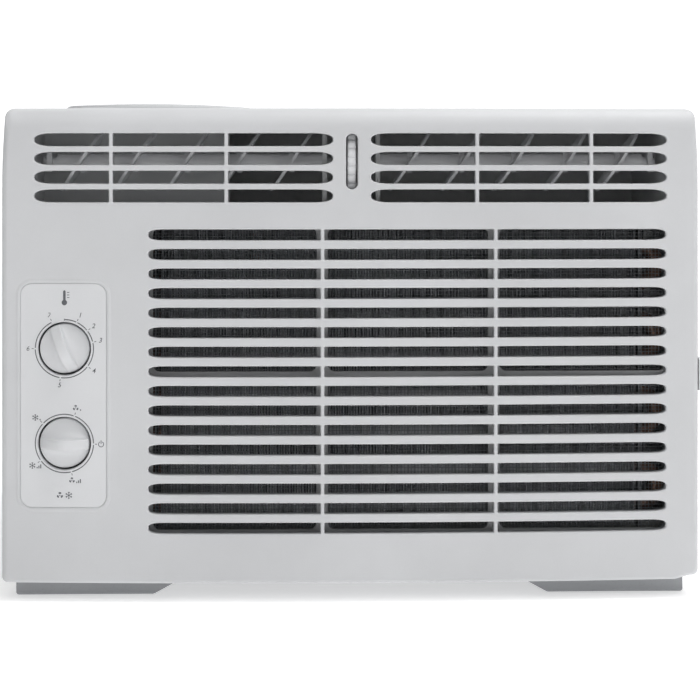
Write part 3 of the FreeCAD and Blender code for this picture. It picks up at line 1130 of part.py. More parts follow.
def cord_gland():
    """Rubber bushing in the panel's left skirt for the supply lead."""
    x = -HALF_W
    sleeve = ring(GLAND_R + 2.4, GLAND_R, (x - GLAND_PROUD, GLAND_Y, GLAND_Z), (1, 0, 0), 7)
    flange = ring(GLAND_R + 4.5, GLAND_R, (x - GLAND_PROUD, GLAND_Y, GLAND_Z), (1, 0, 0), GLAND_PROUD - 0.05)
    return join([sleeve, flange])


def wire_harness():
    """Sleeved wires from the control box to the bulkhead."""
    y = CONTROL_PLATE_Y + 40
    return tube([(KNOB_X - 10, y, THERMOSTAT_Z - 26), (KNOB_X - 10, y + 34, THERMOSTAT_Z - 26),
                 (KNOB_X - 10, y + 34, HARNESS_Z), (KNOB_X - 10, BULKHEAD_Y + 40, HARNESS_Z)], 3.2, 12)


def insulation_pads():
    """Foam blocks that seal the front panel against the evaporator."""
    y0, y1 = EVAP_FRONT_Y + EVAP_DEPTH + 1, SCROLL_FRONT_Y - 4
    return group([box(COIL_LEFT_X - 2, AXLE_X - 112, y0, y1, 44, 196),
                  box(AXLE_X + 96, COIL_RIGHT_X + 4, y0, y1, 44, 196)])


def hub_nuts():
    """Nuts that clamp the blower and the outdoor fan on the shaft."""
    solids = []
    y_front = BLOWER_FRONT_Y + BLOWER_DEPTH - BLOWER_HUB_DEPTH
    for y in (y_front - 3.6, FAN_Y + FAN_DEPTH / 2):
        nut = hex_prism(0, 0, 0, 6.5, 3.4).cut(cylinder(MOTOR_SHAFT_R, (0, 0, -1), (0, 0, 1), 6))
        nut.rotate(Vector(0, 0, 0), X_AXIS, -90)
        nut.translate(Vector(AXLE_X, y, AXLE_Z))
        solids.append(nut)
    return group(solids)


EVAP = (COIL_LEFT_X, COIL_RIGHT_X, EVAP_FRONT_Y, EVAP_DEPTH, EVAP_LOW_Z, EVAP_ROWS, EVAP_PITCH)
COND = (COND_LEFT_X, COND_RIGHT_X, COND_FRONT_Y, COND_DEPTH, COND_LOW_Z, COND_ROWS, COND_PITCH)

NODES = {
    "front_panel": front_panel,
    "control_plaque": control_plaque,
    "temperature_knob": lambda: knob(THERMOSTAT_Z, THERMOSTAT_POINTER),
    "mode_knob": lambda: knob(SWITCH_Z, SWITCH_POINTER),
    "thermostat_shaft": lambda: control_shaft(THERMOSTAT_Z, THERMOSTAT_POINTER, 12),
    "mode_switch_shaft": lambda: control_shaft(SWITCH_Z, SWITCH_POINTER, 12),
    "thermostat_body": lambda: control_body(THERMOSTAT_Z, 20, 24, 4.5),
    "mode_switch_body": lambda: control_body(SWITCH_Z, 17, 22, 4.5),
    "thermostat_bulb": thermostat_bulb,
    "control_plate": control_plate,
    "run_capacitor": run_capacitor,
    "wire_harness": wire_harness,
    "filter_frame": filter_frame,
    "filter_mesh": filter_mesh,
    "rotor_vanes_left": lambda: rotor_half(-1),
    "rotor_vanes_right": lambda: rotor_half(1),
    "rotor_thumbwheel": rotor_thumbwheel,
    "rotor_bearings": rotor_bearings,
    "discharge_duct": discharge_duct,
    "scroll_housing": scroll_housing,
    "inlet_ring": inlet_ring,
    "blower_wheel": blower_wheel,
    "hub_nuts": hub_nuts,
    "bulkhead": bulkhead,
    "motor_front_bell": lambda: motor_bell(True),
    "motor_rear_bell": lambda: motor_bell(False),
    "motor_stator": motor_stator,
    "motor_rotor": motor_rotor,
    "motor_shaft": motor_shaft,
    "motor_bracket": motor_bracket,
    "condenser_fan": condenser_fan,
    "fan_shroud": fan_shroud,
    "evaporator_fins": lambda: coil_fins(*EVAP),
    "evaporator_tubes": lambda: coil_tubes(*EVAP),
    "evaporator_end_plates": lambda: coil_end_plates(*EVAP),
    "drain_tray": drain_tray,
    "insulation_pads": insulation_pads,
    "condenser_fins": lambda: coil_fins(*COND),
    "condenser_tubes": lambda: coil_tubes(*COND),
    "condenser_end_plates": lambda: coil_end_plates(*COND),
    "compressor_can": compressor_can,
    "compressor_cap": compressor_cap,
    "compressor_core": compressor_core,
    "compressor_grommets": compressor_grommets,
    "compressor_studs": compressor_studs,
    "accumulator": accumulator,
    "terminal_cover": terminal_cover,
    "suction_line": suction_line,
    "discharge_line": discharge_line,
    "liquid_line": liquid_line,
    "filter_drier": filter_drier,
    "capillary_tube": capillary_tube,
    "base_pan": base_pan,
    "cabinet": cabinet,
    "cabinet_screws": cabinet_screws,
    "coil_guard": coil_guard,
    "cord_gland": cord_gland,
}

os.makedirs("parts", exist_ok=True)
for name, make in NODES.items():
    shape = make()
    if not shape.isValid():
        print("not valid:", name)
    shape.exportStep("parts/" + name + ".step")
    b = shape.BoundBox
    print("%-24s %2d solids %9.0f mm3  x %.1f %.1f  y %.1f %.1f  z %.1f %.1f" % (
        name, len(shape.Solids), shape.Volume, b.XMin, b.XMax, b.YMin, b.YMax, b.ZMin, b.ZMax))
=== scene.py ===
import bmesh
import bpy
import json
import math
import numpy as np
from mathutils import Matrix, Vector, geometry


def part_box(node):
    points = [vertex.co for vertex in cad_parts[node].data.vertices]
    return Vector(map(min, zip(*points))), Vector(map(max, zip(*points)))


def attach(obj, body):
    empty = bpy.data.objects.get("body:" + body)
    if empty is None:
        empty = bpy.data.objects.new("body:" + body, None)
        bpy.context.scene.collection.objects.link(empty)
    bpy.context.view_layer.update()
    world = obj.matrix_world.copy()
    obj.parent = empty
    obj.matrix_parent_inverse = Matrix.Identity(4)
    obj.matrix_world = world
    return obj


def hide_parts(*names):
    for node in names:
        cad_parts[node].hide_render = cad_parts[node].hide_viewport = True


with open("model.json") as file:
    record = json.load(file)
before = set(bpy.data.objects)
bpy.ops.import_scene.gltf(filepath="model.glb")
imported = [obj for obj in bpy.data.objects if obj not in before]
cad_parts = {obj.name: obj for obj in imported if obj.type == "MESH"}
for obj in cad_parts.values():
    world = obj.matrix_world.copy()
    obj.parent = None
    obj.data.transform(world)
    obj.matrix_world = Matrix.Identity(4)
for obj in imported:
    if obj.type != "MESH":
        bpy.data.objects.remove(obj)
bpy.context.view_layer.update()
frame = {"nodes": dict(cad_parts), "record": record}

# ---- measures, in millimetres, taken from the CAD nodes' boxes ----
MM = 0.001


def span(node):
    """A node's box in millimetres: x0, x1, y0, y1, z0, z1."""
    low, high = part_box(node)
    return [c / MM for pair in zip(low, high) for c in pair]


PANEL = span("front_panel")
HALF = PANEL[1]
FRONT, SKIRT_BACK = PANEL[2], PANEL[3]
LOW, TOP = PANEL[4], PANEL[5]
BOW = 7.6  # how far the face's middle stands ahead of its ends
LEAN, LEAN_HEIGHT = 1.8, 52.0  # how far the sides lean in, and over what height below the top
LEAN_END, LEAN_POWER = 6.0, 2.4
ROLL = (13.7, 11.0)  # height and depth of the rolled top edge
SIDE_ROUND, FOOT_ROUND = 4.0, 2.5
WALL = 2.4
GRILLE_DEEP = 6.5
PAN_FRONT = span("base_pan")[2] - 1.0
NOTCH = 199.0  # half the width of the skirt's foot that stops at the base pan
STEP_X, STEP_HIGH = 189.0, 2.2  # the bottom edge rises a little towards its right end
STEP_LENGTH, STEP_REACH = 3.5, 9  # over what length it rises, and up to what height above the foot

# corner and foot radii of the panel's outline, of its flat face and of its inside
EDGE_CORNER, EDGE_FOOT = 4.8, 3.5
FACE_CORNER, FACE_FOOT = 3.0, 1.0
LINER_CORNER, LINER_FOOT = 4.0, 1.6
FOOT_STEPS, CORNER_STEPS, TOP_STEPS = 5, 7, 21
ROLL_STEPS, LIP_STEPS = 9, 4
SIDE_START, SIDE_END, SIDE_PITCH = 22.0, 262.0, 8.0  # heights of the rows of points up the sides
BOTTOM_PITCH = 9.0

SLOT_TAPER = 11.7
MAIN_BLUNT, TOP_BLUNT = 3.2, 2.5  # how square the slots' tapered ends are; 2 is an ellipse
RIB = 2.2
RIB_CORNER = 0.6
MAIN_LIP, TOP_LIP = 1.0, 0.8
MAIN_ROWS, MAIN_TOP, MAIN_PITCH, MAIN_HIGH = 16, 215.9, 11.31, 6.35
MAIN_X, MAIN_RIBS = (-117.7, 183.6), (-17.05, 83.5)
TOP_ROWS, TOP_TOP, TOP_PITCH, TOP_HIGH = 4, 271.6, 10.85, 7.55
TOP_X, TOP_RIBS = (11.0, 184.0), (72.7, 139.5)
WHEEL = span("rotor_thumbwheel")
ROTOR_Y, ROTOR_Z = (WHEEL[2] + WHEEL[3]) / 2, (WHEEL[4] + WHEEL[5]) / 2
WHEEL_R = (WHEEL[5] - WHEEL[4]) / 2
WHEEL_SLOT = (6.8, 32.3)

PLAQUE = span("control_plaque")
PLAQUE_CORNER = 6.6
PLAQUE_BACK = 0.9  # how deep the plaque's recess is
KNOB_R = 14.5
KNOB_GAP = 0.9
DIALS = [[(s[0] + s[1]) / 2, (s[4] + s[5]) / 2]
         for s in (span("thermostat_shaft"), span("mode_switch_shaft"))]
FILTER = span("filter_mesh")
SLIT_Y = (-176.5, -171.5)  # the slit in the right side that the filter slides out through
SLIT_Z = (33.5, 223.0)
SKIRT_ROW_Y = -168.0  # the last row of points before the skirt's back edge
GLAND = span("cord_gland")
GLAND_Y, GLAND_Z = (GLAND[2] + GLAND[3]) / 2, (GLAND[4] + GLAND[5]) / 2
GLAND_HALF = 6.4
PINCH_Z = (116.0, 145.0)  # the finger hollow beside the filter's pull tab
PINCH_DEEP, PINCH_EASE = 1.1, 1.6


BOW_R = (HALF ** 2 + BOW ** 2) / (2 * BOW)


def bow_y(x):
    """Y of the panel's bowed face at one X."""
    return FRONT + BOW_R - math.sqrt(max(BOW_R ** 2 - x ** 2, 0))


def bow_normal(x):
    """The bowed face's outward direction at one X."""
    return Vector((x / BOW_R, -math.sqrt(1 - (x / BOW_R) ** 2), 0))


# ---- materials ----
def linear(rgb):
    """An sRGB colour of 0 to 255 as the linear colour that a shader takes."""
    return tuple((c / 255 / 12.92) if c <= 10 else ((c / 255 + 0.055) / 1.055) ** 2.4 for c in rgb) + (1,)


class Nodes:
    """Builds one procedural material on a Principled shader."""

    def __init__(self, name):
        self.mat = bpy.data.materials.new(name)
        self.mat.use_nodes = True
        self.tree = self.mat.node_tree
        self.shader = self.tree.nodes["Principled BSDF"]
        self.coords = self.tree.nodes.new("ShaderNodeTexCoord").outputs["Object"]

    def feed(self, node, pairs):
        """Links or sets named or numbered sockets of a node."""
        for key, value in pairs:
            if isinstance(value, bpy.types.NodeSocket):
                self.tree.links.new(value, node.inputs[key])
            else:
                node.inputs[key].default_value = value

    def add(self, kind, **inputs):
        node = self.tree.nodes.new(kind)
        self.feed(node, [(key.replace("_", " "), value) for key, value in inputs.items()])
        return node

    def stretch(self, scale):
        return self.add("ShaderNodeMapping", Vector=self.coords, Scale=scale).outputs["Vector"]

    def noise(self, scale, detail=3.0, rough=0.55, vector=None):
        return self.add("ShaderNodeTexNoise", Vector=vector or self.coords, Scale=scale, Detail=detail,
                        Roughness=rough).outputs["Fac"]

    def cells(self, scale, output="Distance"):
        return self.add("ShaderNodeTexVoronoi", Vector=self.coords, Scale=scale).outputs[output]

    def ramp(self, fac, stops):
        node = self.add("ShaderNodeValToRGB", Fac=fac)
        ramp = node.color_ramp
        while len(ramp.elements) < len(stops):
            ramp.elements.new(0.5)
        for element, (at, colour) in zip(ramp.elements, stops):
            element.position, element.color = at, colour
        return node.outputs["Color"]

    def span(self, fac, low, high, from_low=0.3, from_high=0.7):
        return self.add("ShaderNodeMapRange", Value=fac, From_Min=from_low, From_Max=from_high,
                        To_Min=low, To_Max=high).outputs["Result"]

    def maths(self, op, a, b):
        node = self.tree.nodes.new("ShaderNodeMath")
        node.operation = op
        self.feed(node, ((0, a), (1, b)))
        return node.outputs[0]

    def mix(self, fac, a, b):
        node = self.tree.nodes.new("ShaderNodeMix")
        node.data_type = "RGBA"
        self.feed(node, ((0, fac), (6, a), (7, b)))  # the factor, and the colour sockets A and B
        return node.outputs[2]

    def colour(self, socket):
        self.tree.links.new(socket, self.shader.inputs["Base Color"])

    def rough(self, socket):
        self.tree.links.new(socket, self.shader.inputs["Roughness"])

    def bump(self, height, distance, strength=1.0, under=None):
        node = self.add("ShaderNodeBump", Height=height, Distance=distance, Strength=strength)
        if under is not None:
            self.tree.links.new(under, node.inputs["Normal"])
        self.tree.links.new(node.outputs["Normal"], self.shader.inputs["Normal"])
        return node.outputs["Normal"]

    def fixed(self, **values):
        for key, value in values.items():
            self.shader.inputs[key.replace("_", " ")].default_value = value
        return self


def shade(rgb, k):
    return linear(tuple(min(255, max(0, c * k)) for c in rgb))


def moulded(name, rgb, rough=(0.40, 0.52), grain=1400.0, depth=0.00002, vary=0.02):
    """Moulded plastic: a fine spark-eroded grain, faint flow shading, and scattered gloss."""
    n = Nodes(name)
    broad = n.noise(9.0, 4.0, 0.6)
    fine = n.noise(grain, 2.0, 0.5)
    pits = n.cells(grain * 0.8)
    tone = n.ramp(broad, [(0.3, shade(rgb, 1 - vary)), (0.52, linear(rgb)), (0.72, shade(rgb, 1 + vary))])
    n.colour(n.mix(n.span(fine, 0.0, 0.05), tone, shade(rgb, 0.8)))
    n.rough(n.span(n.noise(60.0, 5.0, 0.65), *rough))
    first = n.bump(n.noise(40.0, 2.0, 0.4), 0.00006, 0.25)
    n.bump(n.maths("ADD", fine, n.maths("MULTIPLY", pits, 0.5)), depth, 0.6, first)
    return n.fixed(Specular_IOR_Level=0.45).mat


def painted(name, rgb, rough=(0.3, 0.42), peel=260.0):
    """Powder coat over steel: orange peel and faint dust in the broad tone."""
    n = Nodes(name)
    broad = n.noise(6.0, 5.0, 0.62)
    tone = n.ramp(broad, [(0.28, shade(rgb, 0.95)), (0.5, linear(rgb)), (0.75, shade(rgb, 1.03))])
    speck = n.ramp(n.noise(900.0, 1.0, 0.5), [(0.60, (0, 0, 0, 1)), (0.72, (0.25, 0.25, 0.25, 1))])
    n.colour(n.mix(speck, tone, shade(rgb, 0.86)))
    n.rough(n.span(n.noise(45.0, 4.0, 0.6), *rough))
    n.bump(n.noise(peel, 2.0, 0.45), 0.00008, 0.35)
    return n.fixed(Specular_IOR_Level=0.5, Coat_Weight=0.12, Coat_Roughness=0.2).mat


def galvanised(name, rgb, spangle=90.0, rough=(0.32, 0.5)):
    """Zinc-coated sheet with its crystal spangle and dull oxide patches."""
    n = Nodes(name)
    grey = n.add("ShaderNodeSeparateColor", Color=n.cells(spangle, "Color")).outputs[0]
    tone = n.ramp(grey, [(0.0, shade(rgb, 0.84)), (0.5, linear(rgb)), (1.0, shade(rgb, 1.12))])
    n.colour(n.mix(n.span(n.noise(14.0, 6.0, 0.7), 0.0, 0.35, 0.45, 0.7), tone, shade(rgb, 0.72)))
    n.rough(n.maths("ADD", n.span(grey, 0.0, 0.12, 0.0, 1.0), n.span(n.noise(30.0, 5.0, 0.6), *rough)))
    n.bump(n.noise(500.0, 3.0, 0.5), 0.00002, 0.3)
    return n.fixed(Metallic=0.9).mat


def drawn_metal(name, rgb, axis=0, rough=(0.2, 0.34), metallic=1.0, tarnish=None):
    """Drawn or rolled metal: long fine scratches along one axis and patchy tarnish."""
    n = Nodes(name)
    scale = [900.0, 900.0, 900.0]
    scale[axis] = 18.0
    lines = n.noise(1.0, 3.0, 0.6, n.stretch(tuple(scale)))
    tone = n.ramp(lines, [(0.35, shade(rgb, 0.88)), (0.65, shade(rgb, 1.06))])
    patch = n.span(n.noise(28.0, 6.0, 0.68), 0.0, 0.55, 0.48, 0.7)
    n.colour(n.mix(patch, tone, linear(tarnish or tuple(c * 0.75 for c in rgb))))
    n.rough(n.span(n.noise(50.0, 5.0, 0.65), *rough))
    n.bump(lines, 0.00002, 0.35)
    return n.fixed(Metallic=metallic).mat


def rubber(name, rgb):
    n = Nodes(name)
    n.colour(n.ramp(n.noise(25.0, 5.0, 0.65), [(0.3, shade(rgb, 0.8)), (0.7, shade(rgb, 1.35))]))
    n.rough(n.span(n.noise(120.0, 4.0, 0.6), 0.62, 0.82))
    n.bump(n.noise(900.0, 3.0, 0.6), 0.00006, 0.5)
    return n.fixed(Specular_IOR_Level=0.3).mat


def foam(name, rgb):
    """Expanded-bead foam."""
    n = Nodes(name)
    beads = n.cells(330.0)
    n.colour(n.ramp(beads, [(0.0, shade(rgb, 1.02)), (0.55, linear(rgb)), (0.9, shade(rgb, 0.82))]))
    n.rough(n.span(n.noise(60.0, 3.0, 0.5), 0.75, 0.92))
    n.bump(n.maths("SUBTRACT", 1.0, beads), 0.0006, 0.6)
    return n.fixed(Specular_IOR_Level=0.25).mat


def laminated(name, rgb):
    """Stacked motor laminations, seen on edge along the shaft's axis."""
    n = Nodes(name)
    sheets = n.noise(1.0, 1.0, 0.5, n.stretch((8.0, 1900.0, 8.0)))
    n.colour(n.ramp(sheets, [(0.38, shade(rgb, 0.55)), (0.6, shade(rgb, 1.1))]))
    n.rough(n.span(n.noise(80.0, 4.0, 0.6), 0.42, 0.6))
    n.bump(sheets, 0.0002, 0.6)
    return n.fixed(Metallic=0.8).mat


def printed(name, rgb):
    """Pad-printed ink, a little uneven in its density."""
    n = Nodes(name)
    n.colour(n.ramp(n.noise(600.0, 4.0, 0.7), [(0.3, shade(rgb, 0.9)), (0.7, shade(rgb, 1.15))]))
    n.rough(n.span(n.noise(200.0, 3.0, 0.5), 0.45, 0.6))
    n.bump(n.noise(1500.0, 2.0, 0.5), 0.00001, 0.3)
    return n.mat


def fin_sheet(name, rgb):
    """Lacquered aluminium fin stock: each fin a little lighter or darker than the next."""
    n = Nodes(name)
    step = n.noise(1.0, 2.0, 0.7, n.stretch((420.0, 6.0, 9.0)))
    tone = n.ramp(step, [(0.3, shade(rgb, 0.70)), (0.5, linear(rgb)), (0.72, shade(rgb, 1.12))])
    n.colour(n.mix(n.span(n.noise(22.0, 6.0, 0.7), 0.0, 0.4, 0.45, 0.7), tone, shade(rgb, 0.7)))
    n.rough(n.span(n.noise(90.0, 4.0, 0.6), 0.3, 0.5))
    n.bump(n.noise(700.0, 2.0, 0.5), 0.00003, 0.35)
    return n.fixed(Metallic=0.75).mat


M = {
    "panel_plastic": moulded("panel_abs", (202, 203, 205)),
    "plaque_plastic": moulded("plaque_abs", (213, 214, 216), (0.42, 0.52), 1800.0, 0.000012, 0.012),
    "knob_plastic": moulded("knob_abs", (209, 210, 212), (0.30, 0.42), 2000.0, 0.00001, 0.015),
    "filter_plastic": moulded("filter_pp", (204, 205, 206), (0.5, 0.62), 1200.0, 0.00003, 0.03),
    "filter_net": moulded("net_pp", (160, 162, 166), (0.5, 0.65), 2600.0, 0.00001, 0.05),
    "vane_plastic": moulded("vane_abs", (226, 227, 229), (0.38, 0.5), 1500.0, 0.00002, 0.02),
    "duct_plastic": moulded("duct_pp", (228, 229, 230), (0.5, 0.66), 900.0, 0.00004, 0.05),
    "black_plastic": moulded("black_pa", (38, 39, 41), (0.42, 0.58), 1200.0, 0.00003, 0.12),
    "black_rubber": rubber("epdm", (34, 34, 35)),
    "foam": foam("eps_foam", (196, 197, 194)),
    "zinc_steel": galvanised("zinc_plate", (132, 134, 137)),
    "pan_steel": painted("pan_coat", (158, 160, 163), (0.34, 0.5), 240.0),
    "cabinet_paint": painted("cabinet_coat", (200, 201, 203), (0.34, 0.46), 260.0),
    "guard_paint": painted("guard_coat", (188, 190, 192), (0.32, 0.46), 420.0),
    "shaft_steel": drawn_metal("ground_steel", (176, 177, 180), 1, (0.16, 0.28)),
    "copper": drawn_metal("copper_tube", (150, 122, 108), 2, (0.3, 0.5), 0.9, (104, 88, 80)),
    "fin_aluminium": fin_sheet("fin_stock", (222, 224, 227)),
    "capacitor_can": drawn_metal("can_aluminium", (190, 192, 195), 1, (0.24, 0.38), 0.95),
    "lamination_steel": laminated("lamination", (110, 108, 106)),
    "motor_paint": painted("motor_coat", (92, 95, 100), (0.36, 0.52), 300.0),
    "compressor_paint": painted("compressor_coat", (34, 35, 37), (0.34, 0.5), 180.0),
}
INK = printed("dial_ink", (88, 90, 94))

for part in frame["record"]["subparts"]:
    target = frame["nodes"][part["node"]]
    target.data.materials.clear()
    target.data.materials.append(M[part["material_slot"]])


# ---- mesh helpers ----
def face_outwards(mesh, merge=None):
    """Turns every face outwards, after merging doubled points where asked."""
    bm = bmesh.new()
    bm.from_mesh(mesh)
    if merge:
        bmesh.ops.remove_doubles(bm, verts=bm.verts, dist=merge)
    bmesh.ops.recalc_face_normals(bm, faces=bm.faces)
    bm.to_mesh(mesh)
    bm.free()


def in_scene(name, data):
    """A new object in the scene, for a mesh, a light or a camera."""
    obj = bpy.data.objects.new(name, data)
    bpy.context.scene.collection.objects.link(obj)
    return obj


def piece(name, skin, body, slot, material=None, sharp=None, smooth=True, normals=None):
    """A closed mesh in millimetres, set riding on a body with its finish."""
    mesh = bpy.data.meshes.new(name)
    mesh.from_pydata([tuple(c * MM for c in v) for v in skin.verts], [], skin.faces)
    face_outwards(mesh)
    mesh.polygons.foreach_set("use_smooth", [smooth] * len(mesh.polygons))
    if sharp is not None:
        mesh.set_sharp_from_angle(angle=math.radians(sharp))
    if normals is not None:
        mesh.normals_split_custom_set_from_vertices(normals)
    obj = in_scene(name, mesh)
    mesh.materials.append(material or M[slot])
    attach(obj, body)
    return obj


class Skin:
    """Vertices and faces of one mesh, gathered loop by loop."""

    def __init__(self):
        self.verts, self.faces, self.flat = [], [], set()

    def loop(self, points):
        start = len(self.verts)
        self.verts += points
        return list(range(start, start + len(points)))

    def on_bow(self, outline, depth, flat=False):
        """A loop of (x, z) points laid `depth` behind the bowed face; flat ones take the face's normal."""
        deep = depth if isinstance(depth, list) else [depth] * len(outline)
        ids = self.loop([(x, bow_y(x) + d, z) for (x, z), d in zip(outline, deep)])
        if flat:
            self.flat.update(ids)
        return ids

    def normals(self):
        """Custom normals: the bowed face's at its flat points, and Blender's own elsewhere."""
        return [tuple(bow_normal(v[0])) if i in self.flat else (0, 0, 0) for i, v in enumerate(self.verts)]

    def bridge(self, a, b, closed=True):
        n = len(a)
        for i in range(n if closed else n - 1):
            j = (i + 1) % n
            self.faces.append((a[i], a[j], b[j], b[i]))

    def bridge_all(self, loops, closed=True):
        for a, b in zip(loops, loops[1:]):
            self.bridge(a, b, closed)

    def strip_end(self, loop):
        """Closes a loop that runs along one side of a thin strip and back along the other."""
        m = len(loop)
        for k in range(m // 2 - 1):
            self.faces.append((loop[k], loop[k + 1], loop[m - 2 - k], loop[m - 1 - k]))

    def fill(self, loops):
        """Triangles between an outer loop and the loops of its holes, all convex, seen along Y."""
        ids = [i for loop in loops for i in loop]
        owner = [n for n, loop in enumerate(loops) for _ in loop]
        edges, at = [], 0
        for loop in loops:
            edges += [(at + i, at + (i + 1) % len(loop)) for i in range(len(loop))]
            at += len(loop)
        points = [Vector((self.verts[i][0], self.verts[i][2])) for i in ids]
        out = geometry.delaunay_2d_cdt(points, edges, [], 1, 1e-7, True)
        source = [s[0] for s in out[3]]
        for tri in out[2]:
            corners = [source[v] for v in tri]
            homes = {owner[c] for c in corners}
            if len(homes) == 1 and homes != {0}:
                continue
            self.faces.append(tuple(ids[c] for c in corners))


def arc(cx, cz, rx, rz, a0, a1, steps):
    """Points of an elliptic arc, between two angles in degrees."""
    return [(cx + rx * math.cos(math.radians(a)), cz + rz * math.sin(math.radians(a)))
            for a in np.linspace(a0, a1, steps + 1)]


def blunt_end(cx, cz, rx, rz, power):
    """Right-hand half of a superellipse, from bottom to top."""
    points = []
    for a in np.linspace(-90, 90, 17):
        c, s = math.cos(math.radians(a)), math.sin(math.radians(a))
        points.append((cx + rx * max(c, 0) ** (2 / power), cz + rz * math.copysign(abs(s) ** (2 / power), s)))
    return points


def run_outline(x0, x1, z0, z1, left_taper, right_taper, power, grow, step=9.0):
    """One run of a slot: a blunt taper at the slot's ends, square with small corners at a rib."""
    half, mid = (z1 - z0) / 2, (z0 + z1) / 2
    points = []
    for x, taper, sign in ((x1, right_taper, 1), (x0, left_taper, -1)):
        if taper:
            end = x - sign * taper
            a = blunt_end(end, mid, taper + grow, half + grow, power)
        else:
            c = RIB_CORNER
            end = x - sign * c
            a = arc(end, z0 + c, c + grow, c + grow, -90, 0, 2) + arc(end, z1 - c, c + grow, c + grow, 0, 90, 2)
        if sign < 0:
            a = [(2 * end - px, pz) for px, pz in reversed(a)]
        points.append((end, a))
    (right, first), (left, second) = points
    count = max(2, int((right - left) / step))
    top = [(x, z1 + grow) for x in np.linspace(right, left, count + 1)[1:-1]]
    low = [(x, z0 - grow) for x in np.linspace(left, right, count + 1)[1:-1]]
    return first + top + second + low


def capsule(x, z, width, height, grow, steps=12):
    """Outline of an upright slot with round ends."""
    r = width / 2
    return (arc(x, z - height / 2 + r, r + grow, r + grow, -180, 0, steps)
            + arc(x, z + height / 2 - r, r + grow, r + grow, 0, 180, steps))


def circle(x, z, r, steps=96):
    return arc(x, z, r, r, 0, 360, steps)[:-1]


def rounded(x0, x1, z0, z1, r, grow=0.0, steps=8, step=8.0):
    """Outline of a rectangle with rounded corners, with points along its straight sides."""
    x0, x1, z0, z1, r = x0 - grow, x1 + grow, z0 - grow, z1 + grow, max(r + grow, 0.05)
    corners = [(x1 - r, z0 + r, -90), (x1 - r, z1 - r, 0), (x0 + r, z1 - r, 90), (x0 + r, z0 + r, 180)]
    points = []
    for n, (cx, cz, a) in enumerate(corners):
        points += arc(cx, cz, r, r, a, a + 90, steps)
        nx, nz, na = corners[(n + 1) % 4]
        end = points[-1]
        start = arc(nx, nz, r, r, na, na + 90, steps)[0]
        count = max(1, int(math.dist(end, start) / step))
        points += [(end[0] + (start[0] - end[0]) * i / count, end[1] + (start[1] - end[1]) * i / count)
                   for i in range(1, count)]
    return points


# ---- front panel ----
def lean(z):
    """How far the panel's sides lean in at a height."""
    up = max(0.0, min(1.0, (z - (TOP - LEAN_HEIGHT)) / (LEAN_HEIGHT - LEAN_END)))
    return LEAN * up ** LEAN_POWER


BOTTOM_X = sorted([i * BOTTOM_PITCH for i in range(23)] + [NOTCH, NOTCH + 0.05])
SIDE_Z = sorted([*np.arange(SIDE_START, SIDE_END, SIDE_PITCH), SIDE_END, *SLIT_Z, *PINCH_Z,
                 PINCH_Z[0] + PINCH_EASE, PINCH_Z[1] - PINCH_EASE, GLAND_Z - GLAND_HALF, GLAND_Z + GLAND_HALF])


def smooth_step(a, b, v):
    """0 below a, 1 above b, and an even S between them."""
    t = min(1.0, max(0.0, (v - a) / (b - a)))
    return t * t * (3 - 2 * t)


def outline(side, top, low, corner, foot):
    """Half of the panel's outline from bottom middle to top middle, then its mirror image."""
    hw, zt, zl = HALF - side, TOP - top, LOW + low
    shrink = (hw - foot) / (HALF - EDGE_FOOT)
    half = [(x * shrink, zl) for x in BOTTOM_X]
    half += arc(hw - foot, zl + foot, foot, foot, -90, 0, FOOT_STEPS)
    half += [(hw - lean(z), z) for z in SIDE_Z]
    z_corner = zt - corner
    x_corner = hw - lean(z_corner) - corner
    z_between = SIDE_END + (z_corner - SIDE_END) * 0.5
    half += [(hw - lean(z_between), z_between)]
    half += arc(x_corner, z_corner, corner, corner, 0, 90, CORNER_STEPS)
    half += [(x_corner * f, zt) for f in np.linspace(1, 0, TOP_STEPS + 1)[1:]]
    right = [(x, z + STEP_HIGH * smooth_step(STEP_X, STEP_X + STEP_LENGTH, x) * (z < LOW + STEP_REACH))
             for x, z in half]
    return right + [(-x, z) for x, z in reversed(half[1:-1])]


def edge_depths(low, side, top):
    """How deep the rounded edge is at each outline point, easing between bottom, side and top."""
    half = [low] * len(BOTTOM_X) + [low + (side - low) * (i / FOOT_STEPS) for i in range(FOOT_STEPS + 1)]
    half += [side] * (len(SIDE_Z) + 1)
    half += [side + (top - side) * (i / CORNER_STEPS) ** 0.8 for i in range(CORNER_STEPS + 1)]
    half += [top] * TOP_STEPS
    return half + list(reversed(half[1:-1]))


def slot_runs(x0, x1, ribs):
    """The stretches that the ribs leave of one slot."""
    cuts = [x0] + [v for r in ribs for v in (r - RIB / 2, r + RIB / 2)] + [x1]
    return list(zip(cuts[0::2], cuts[1::2]))


def plaque_outline(grow):
    return rounded(PLAQUE[0], PLAQUE[1], PLAQUE[4], PLAQUE[5], PLAQUE_CORNER, grow)


def panel_holes():
    """Each opening of the front as (outline maker, lip radius)."""
    holes = []

    def add_row(x0, x1, ribs, z1, height, lip, power):
        runs = slot_runs(x0, x1, ribs)
        for n, (a, b) in enumerate(runs):
            ends = (SLOT_TAPER if n == 0 else 0, SLOT_TAPER if n == len(runs) - 1 else 0)
            holes.append((lambda g, a=a, b=b, e=ends: run_outline(a, b, z1 - height, z1, *e, power, g), lip))

    for i in range(MAIN_ROWS):
        add_row(*MAIN_X, MAIN_RIBS, MAIN_TOP - i * MAIN_PITCH, MAIN_HIGH, MAIN_LIP, MAIN_BLUNT)
    for i in range(TOP_ROWS):
        for side in (-1, 1):
            x0, x1 = sorted((side * TOP_X[0], side * TOP_X[1]))
            ribs = sorted(side * r for r in TOP_RIBS)
            add_row(x0, x1, ribs, TOP_TOP - i * TOP_PITCH, TOP_HIGH, TOP_LIP, TOP_BLUNT)
    holes.append((lambda g: capsule(0, ROTOR_Z, *WHEEL_SLOT, g), TOP_LIP))
    return holes


